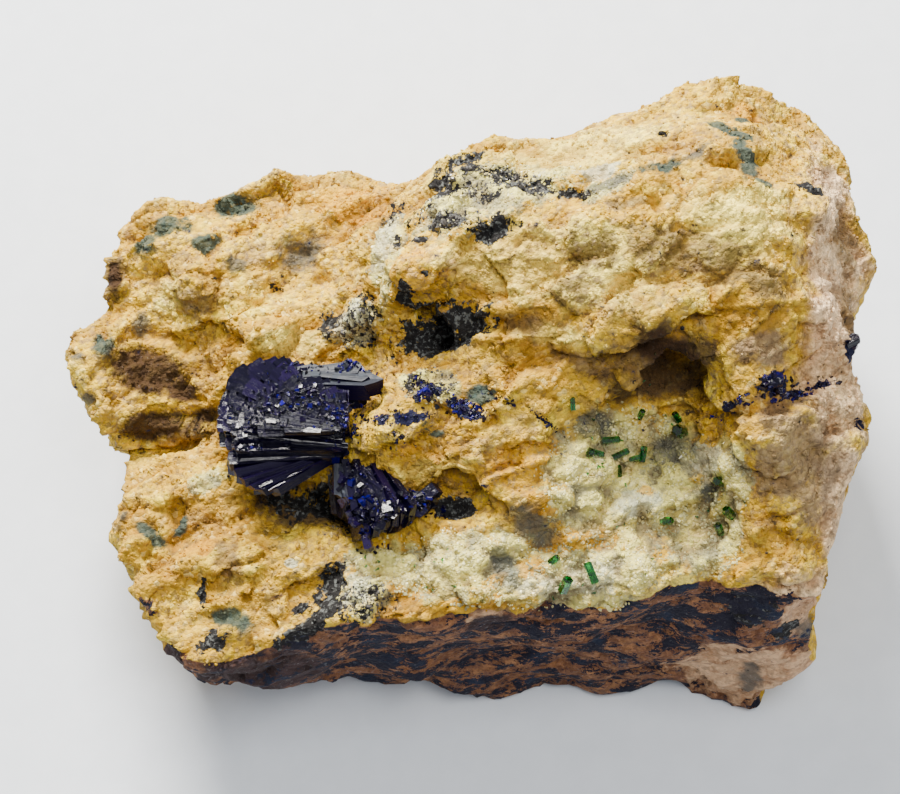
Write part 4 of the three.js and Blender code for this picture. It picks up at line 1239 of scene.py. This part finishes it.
stone = tree_of(rock)
for name, (count, lengths) in GROUPS.items():
    grown = new_growth()
    low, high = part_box(name)
    middle = (Vector(low) + Vector(high)) / 2 / MM
    half = (Vector(high) - Vector(low)) / 2 / MM
    for _ in range(count):
        wanted = middle + Vector(random.uniform(-0.5, 0.4) * h for h in half)
        length = random.uniform(*lengths)
        swing, rise, roll = random.uniform(-40, 60), random.uniform(-20, 20), random.uniform(-60, 60)
        seat, out = stone.find_nearest(wanted * MM)[:2]
        a = math.radians(swing)
        root = seat / MM - SUNK * out - 0.4 * length * Vector((math.cos(a), math.sin(a), 0))
        width, thick = length * random.uniform(0.4, 0.8), length * random.uniform(0.2, 0.5)
        blade(grown, root, swing, rise, roll, length, width, thick,
              finish=BRIGHT if random.random() < 0.12 else DARK, ribs=1, pinch=0.9)
    finished_growth(name + "_grown", grown, name)

# %% [markdown]
# ## Azurite crumbs and dust
# Tiny azurite crystals cover the middle of the rosette and lie round its root, in the cracks and on the dark
# veins. Each lot is a small area, a number of crystals, their sizes, and how many of them are bright or
# weathered. They are dropped straight down on whatever is below, so that every one of them touches it.

# %% Dropped crystals
def dropped(surface, spots):
    """The points of a surface straight below the spots, given in millimetres, and its normals there."""
    hits = [surface.ray_cast(Vector((x, y, DROP_HEIGHT)) * MM, Vector((0, 0, -1)))[:2] for x, y in spots]
    found = [(place, normal) for place, normal in hits if place is not None]
    return np.array([p[:] for p, _ in found]) * 1000, np.array([n[:] for _, n in found])


def small_blade(bm):
    bmesh.ops.create_cube(bm, size=1)
    end = [v for v in bm.verts if v.co.x > 0]
    bmesh.ops.scale(bm, verts=end, vec=(1, 0.55, 0.8))


LOT_SPREAD = 0.62  # about seven in ten of a lot's crystals land inside its oval
# middle, half sizes, turn, number, smallest and largest length, share bright, share weathered
AZURITE_LOTS = [
    ((-12.3, -3.1), (2.5, 1.2), -8, 190, (0.15, 0.45), 0.16, 0.08),  # middle of the rosette
    ((-15.6, -3.6), (1.6, 1.5), 0, 50, (0.15, 0.4), 0.08, 0.06),
    ((-8.9, -4.6), (1.6, 1.2), 0, 190, (0.1, 0.4), 0.4, 0.15),  # its root
    ((-8.4, -0.2), (1.5, 0.5), 0, 60, (0.2, 0.6), 0.5, 0.35),  # end of the right blade
    ((-12, -0.4), (2.2, 0.5), 0, 40, (0.15, 0.4), 0.15, 0.6),
    ((-16.6, -6.4), (1.4, 0.7), 0, 30, (0.15, 0.4), 0.1, 0.25),
    ((-8.2, -8), (1.3, 0.8), -20, 50, (0.15, 0.4), 0.3, 0.05),  # top of the lower cluster
    ((-6.2, -10.8), (1.5, 1.3), 0, 70, (0.15, 0.4), 0.25, 0.0),
    ((-3.6, -10.2), (1.6, 0.7), 0, 50, (0.15, 0.5), 0.15, 0.0),
    ((-7.6, -11.8), (1, 1.3), 0, 50, (0.15, 0.5), 0.15, 0.05),
    ((-3.2, -2.3), (1.0, 0.5), -25, 45, (0.15, 0.5), 0.35, 0.05),
    ((-0.4, -3.8), (1.5, 0.7), -28, 120, (0.12, 0.45), 0.35, 0.2),
    ((-5, -4.5), (1.9, 0.5), 6, 60, (0.1, 0.3), 0.15, 0.4), ((-5.2, -6), (0.5, 0.4), 0, 30, (0.1, 0.3), 0, 0),
    ((18.9, -4.3), (1.3, 0.25), 8, 50, (0.12, 0.35), 0.3, 0),
    ((23.4, -3.3), (1.3, 0.35), 25, 60, (0.12, 0.4), 0.4, 0),
    ((25.6, -2.3), (0.9, 0.3), 20, 30, (0.12, 0.35), 0.35, 0),
    ((21.7, -3.1), (1.4, 0.9), 0, 60, (0.15, 0.5), 0.3, 0),
    ((5.4, -4.8), (1.5, 0.14), -28, 24, (0.1, 0.25), 0.1, 0),
    ((2.5, -3.6), (1.5, 0.16), -25, 24, (0.1, 0.25), 0.1, 0),
]
surface = tree_of(rock, rosette, cluster)
spots, lengths, finishes = [], [], []
for middle, half, turn, count, (short, long), bright, weathered in AZURITE_LOTS:
    a, spread = math.radians(turn), random.normal(size=(count, 2)) * half * LOT_SPREAD
    spots.append(np.array(middle) + spread @ [[math.cos(a), math.sin(a)], [-math.sin(a), math.cos(a)]])
    lengths.append(short + (long - short) * random.random(count) ** 2)
    shares = [1 - bright - weathered, bright, weathered]
    finishes.append(random.choice([DARK, BRIGHT, WEATHERED], size=count, p=shares))
lengths, finishes = np.concatenate(lengths), np.concatenate(finishes)
places, normals = dropped(surface, np.concatenate(spots))
total = len(places)
shares = [np.ones(total), random.uniform(0.5, 0.9, total), random.uniform(0.25, 0.6, total)]
sizes = lengths[:, None] * np.stack(shares, axis=1)
places = places + normals * (0.12 * lengths)[:, None]
turns = random_turns(total, random)
bits = copies("azurite_bits", small_blade, places, sizes, turns, {"tint": random.random(total)}, finishes)
bits.data.uv_layers.new(name="crystal")
for material in AZURITES:
    bits.data.materials.append(material)
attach(bits, "root")
print("azurite bits:", total)

# %% [markdown]
# ## The green prisms
# Eighteen small green prisms stand or lie in the quartz pocket and below it. They are clear, so most of their
# colour comes from the light that goes through them: a glassy surface with an IOR, and an absorption inside
# that takes out red and blue. Each is a six-sided prism with one bevelled end, and stays a piece of its own.

# %% Green prisms
green_material, tree, shader = new_material("green_crystal", Roughness=0.08, IOR=1.7, Transmission_Weight=1.0)
shader.inputs["Base Color"].default_value = (0.16, 0.62, 0.34, 1)
absorption = node(tree, "ShaderNodeVolumeAbsorption", None, Color=(0.05, 0.72, 0.36, 1), Density=3200.0)
tree.links.new(absorption.outputs[0], tree.nodes["Material Output"].inputs["Volume"])

# plan angle, slope, length and width in millimetres, in the CAD's order
GREEN_PRISMS = [
    (95, 25, 0.9, 0.4), (2, 8, 1.2, 0.5), (24, 6, 1.5, 0.5), (80, 20, 1.1, 0.55), (10, 10, 0.8, 0.4),
    (320, 45, 0.8, 0.6),
    (340, 12, 0.9, 0.4), (100, 35, 0.8, 0.5), (60, 60, 0.8, 0.5), (130, 40, 0.8, 0.5), (200, 58, 1.2, 0.9),
    (190, 55, 1.0, 0.7), (150, 50, 1.0, 0.7), (120, 50, 0.9, 0.6), (350, 40, 0.9, 0.6), (30, 40, 0.8, 0.55),
    (112, 14, 1.5, 0.65), (60, 55, 1.2, 0.85),
]
END_BEVEL = 0.16  # as a share of the width
INWARDS = {18: 0.6}  # the one on the front edge stands this much further in
LONGER = 1.08  # each prism is made this much longer than its length in the list


def green_prism(bm, length, width):
    """A six-sided prism with its length along X, about its middle."""
    bmesh.ops.create_cone(bm, cap_ends=True, segments=6, radius1=width / 2, radius2=width / 2, depth=length)
    heights = {e: [v.co.z for v in e.verts] for e in bm.edges}
    ends = [e for e, (one, other) in heights.items() if abs(one - other) < 0.01 * length and one > 0]
    bmesh.ops.bevel(bm, geom=ends, offset=END_BEVEL * width, affect="EDGES", segments=1, profile=0.5,
                    material=-1)
    bmesh.ops.rotate(bm, verts=bm.verts, matrix=Matrix.Rotation(math.pi / 2, 3, "Y"))


for i, (swing, rise, length, width) in enumerate(GREEN_PRISMS, 1):
    low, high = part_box(f"green_crystal_{i:02d}")
    middle = (low + high) / 2 / MM + Vector((0, INWARDS.get(i, 0), 0))
    ground = dropped(stone, [middle[:2]])[0][0][2]
    lift = 0.5 * length * math.sin(math.radians(rise)) + 0.28 * width * math.cos(math.radians(rise))
    bm = bmesh.new()
    green_prism(bm, length * LONGER, width)
    bmesh.ops.transform(bm, verts=bm.verts,
                        matrix=MILLIMETRES @ turned((middle.x, middle.y, ground + lift), swing, rise, 30))
    prism = mesh_object(f"green_prism_{i:02d}", bm)
    prism.data.materials.append(green_material)
    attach(prism, "root")
    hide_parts(f"green_crystal_{i:02d}")
    print(prism.name, "lies", round(ground + lift - middle.z, 2), "mm above the CAD prism")

# %% Green specks
# middle, spread and number
GREEN_LOTS = [
    ((9.4, -7.4), 0.5, 5), ((10.9, -11.2), 0.5, 4), ((12.9, -1.5), 0.5, 3), ((13.1, -15.3), 0.5, 3),
    ((-7.6, -13.8), 0.6, 4),
    ((-4.2, -13.9), 0.5, 4), ((-2.1, -14.2), 0.4, 3), ((-2.8, -16), 0.5, 4), ((-0.8, -16), 0.4, 4),
    ((11.4, -6), 1.6, 14),
    ((15.6, -4.4), 0.6, 5), ((18.4, -10.4), 0.8, 6), ((8, -16), 0.8, 4),
]
spots = np.concatenate([np.array(middle) + random.normal(size=(count, 2)) * spread
                        for middle, spread, count in GREEN_LOTS])
places, normals = dropped(stone, spots)
total = len(places)
sizes = random.uniform(0.12, 0.34, total)[:, None] * np.array([0.6, 0.6, 1.2])
specks = copies("green_specks", quartz_point, places + 0.05 * normals, sizes, random_turns(total, random))
specks.data.materials.append(green_material)
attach(specks, "root")
print("green specks:", total)

# %% [markdown]
# ## The floor
# A plain pale sheet, far larger than the specimen, catches its shadow.

# %% Floor
SHEET_TONES = (0.70, 0.74, 0.80), (0.73, 0.77, 0.83)
SHEET_SIZE = 1.2  # metres
floor_material, tree, shader = new_material("pale_sheet", Roughness=0.8)
paper = noise(tree, object_coordinates(tree), 2.5, 3)
sheet = mixed(tree, ramp(tree, paper, 0.3, 0.7), *SHEET_TONES)
tree.links.new(sheet, shader.inputs["Base Color"])
bm = bmesh.new()
bmesh.ops.create_grid(bm, x_segments=1, y_segments=1, size=SHEET_SIZE)
floor = mesh_object("floor", bm)
floor.data.materials.append(floor_material)
print("floor placed")
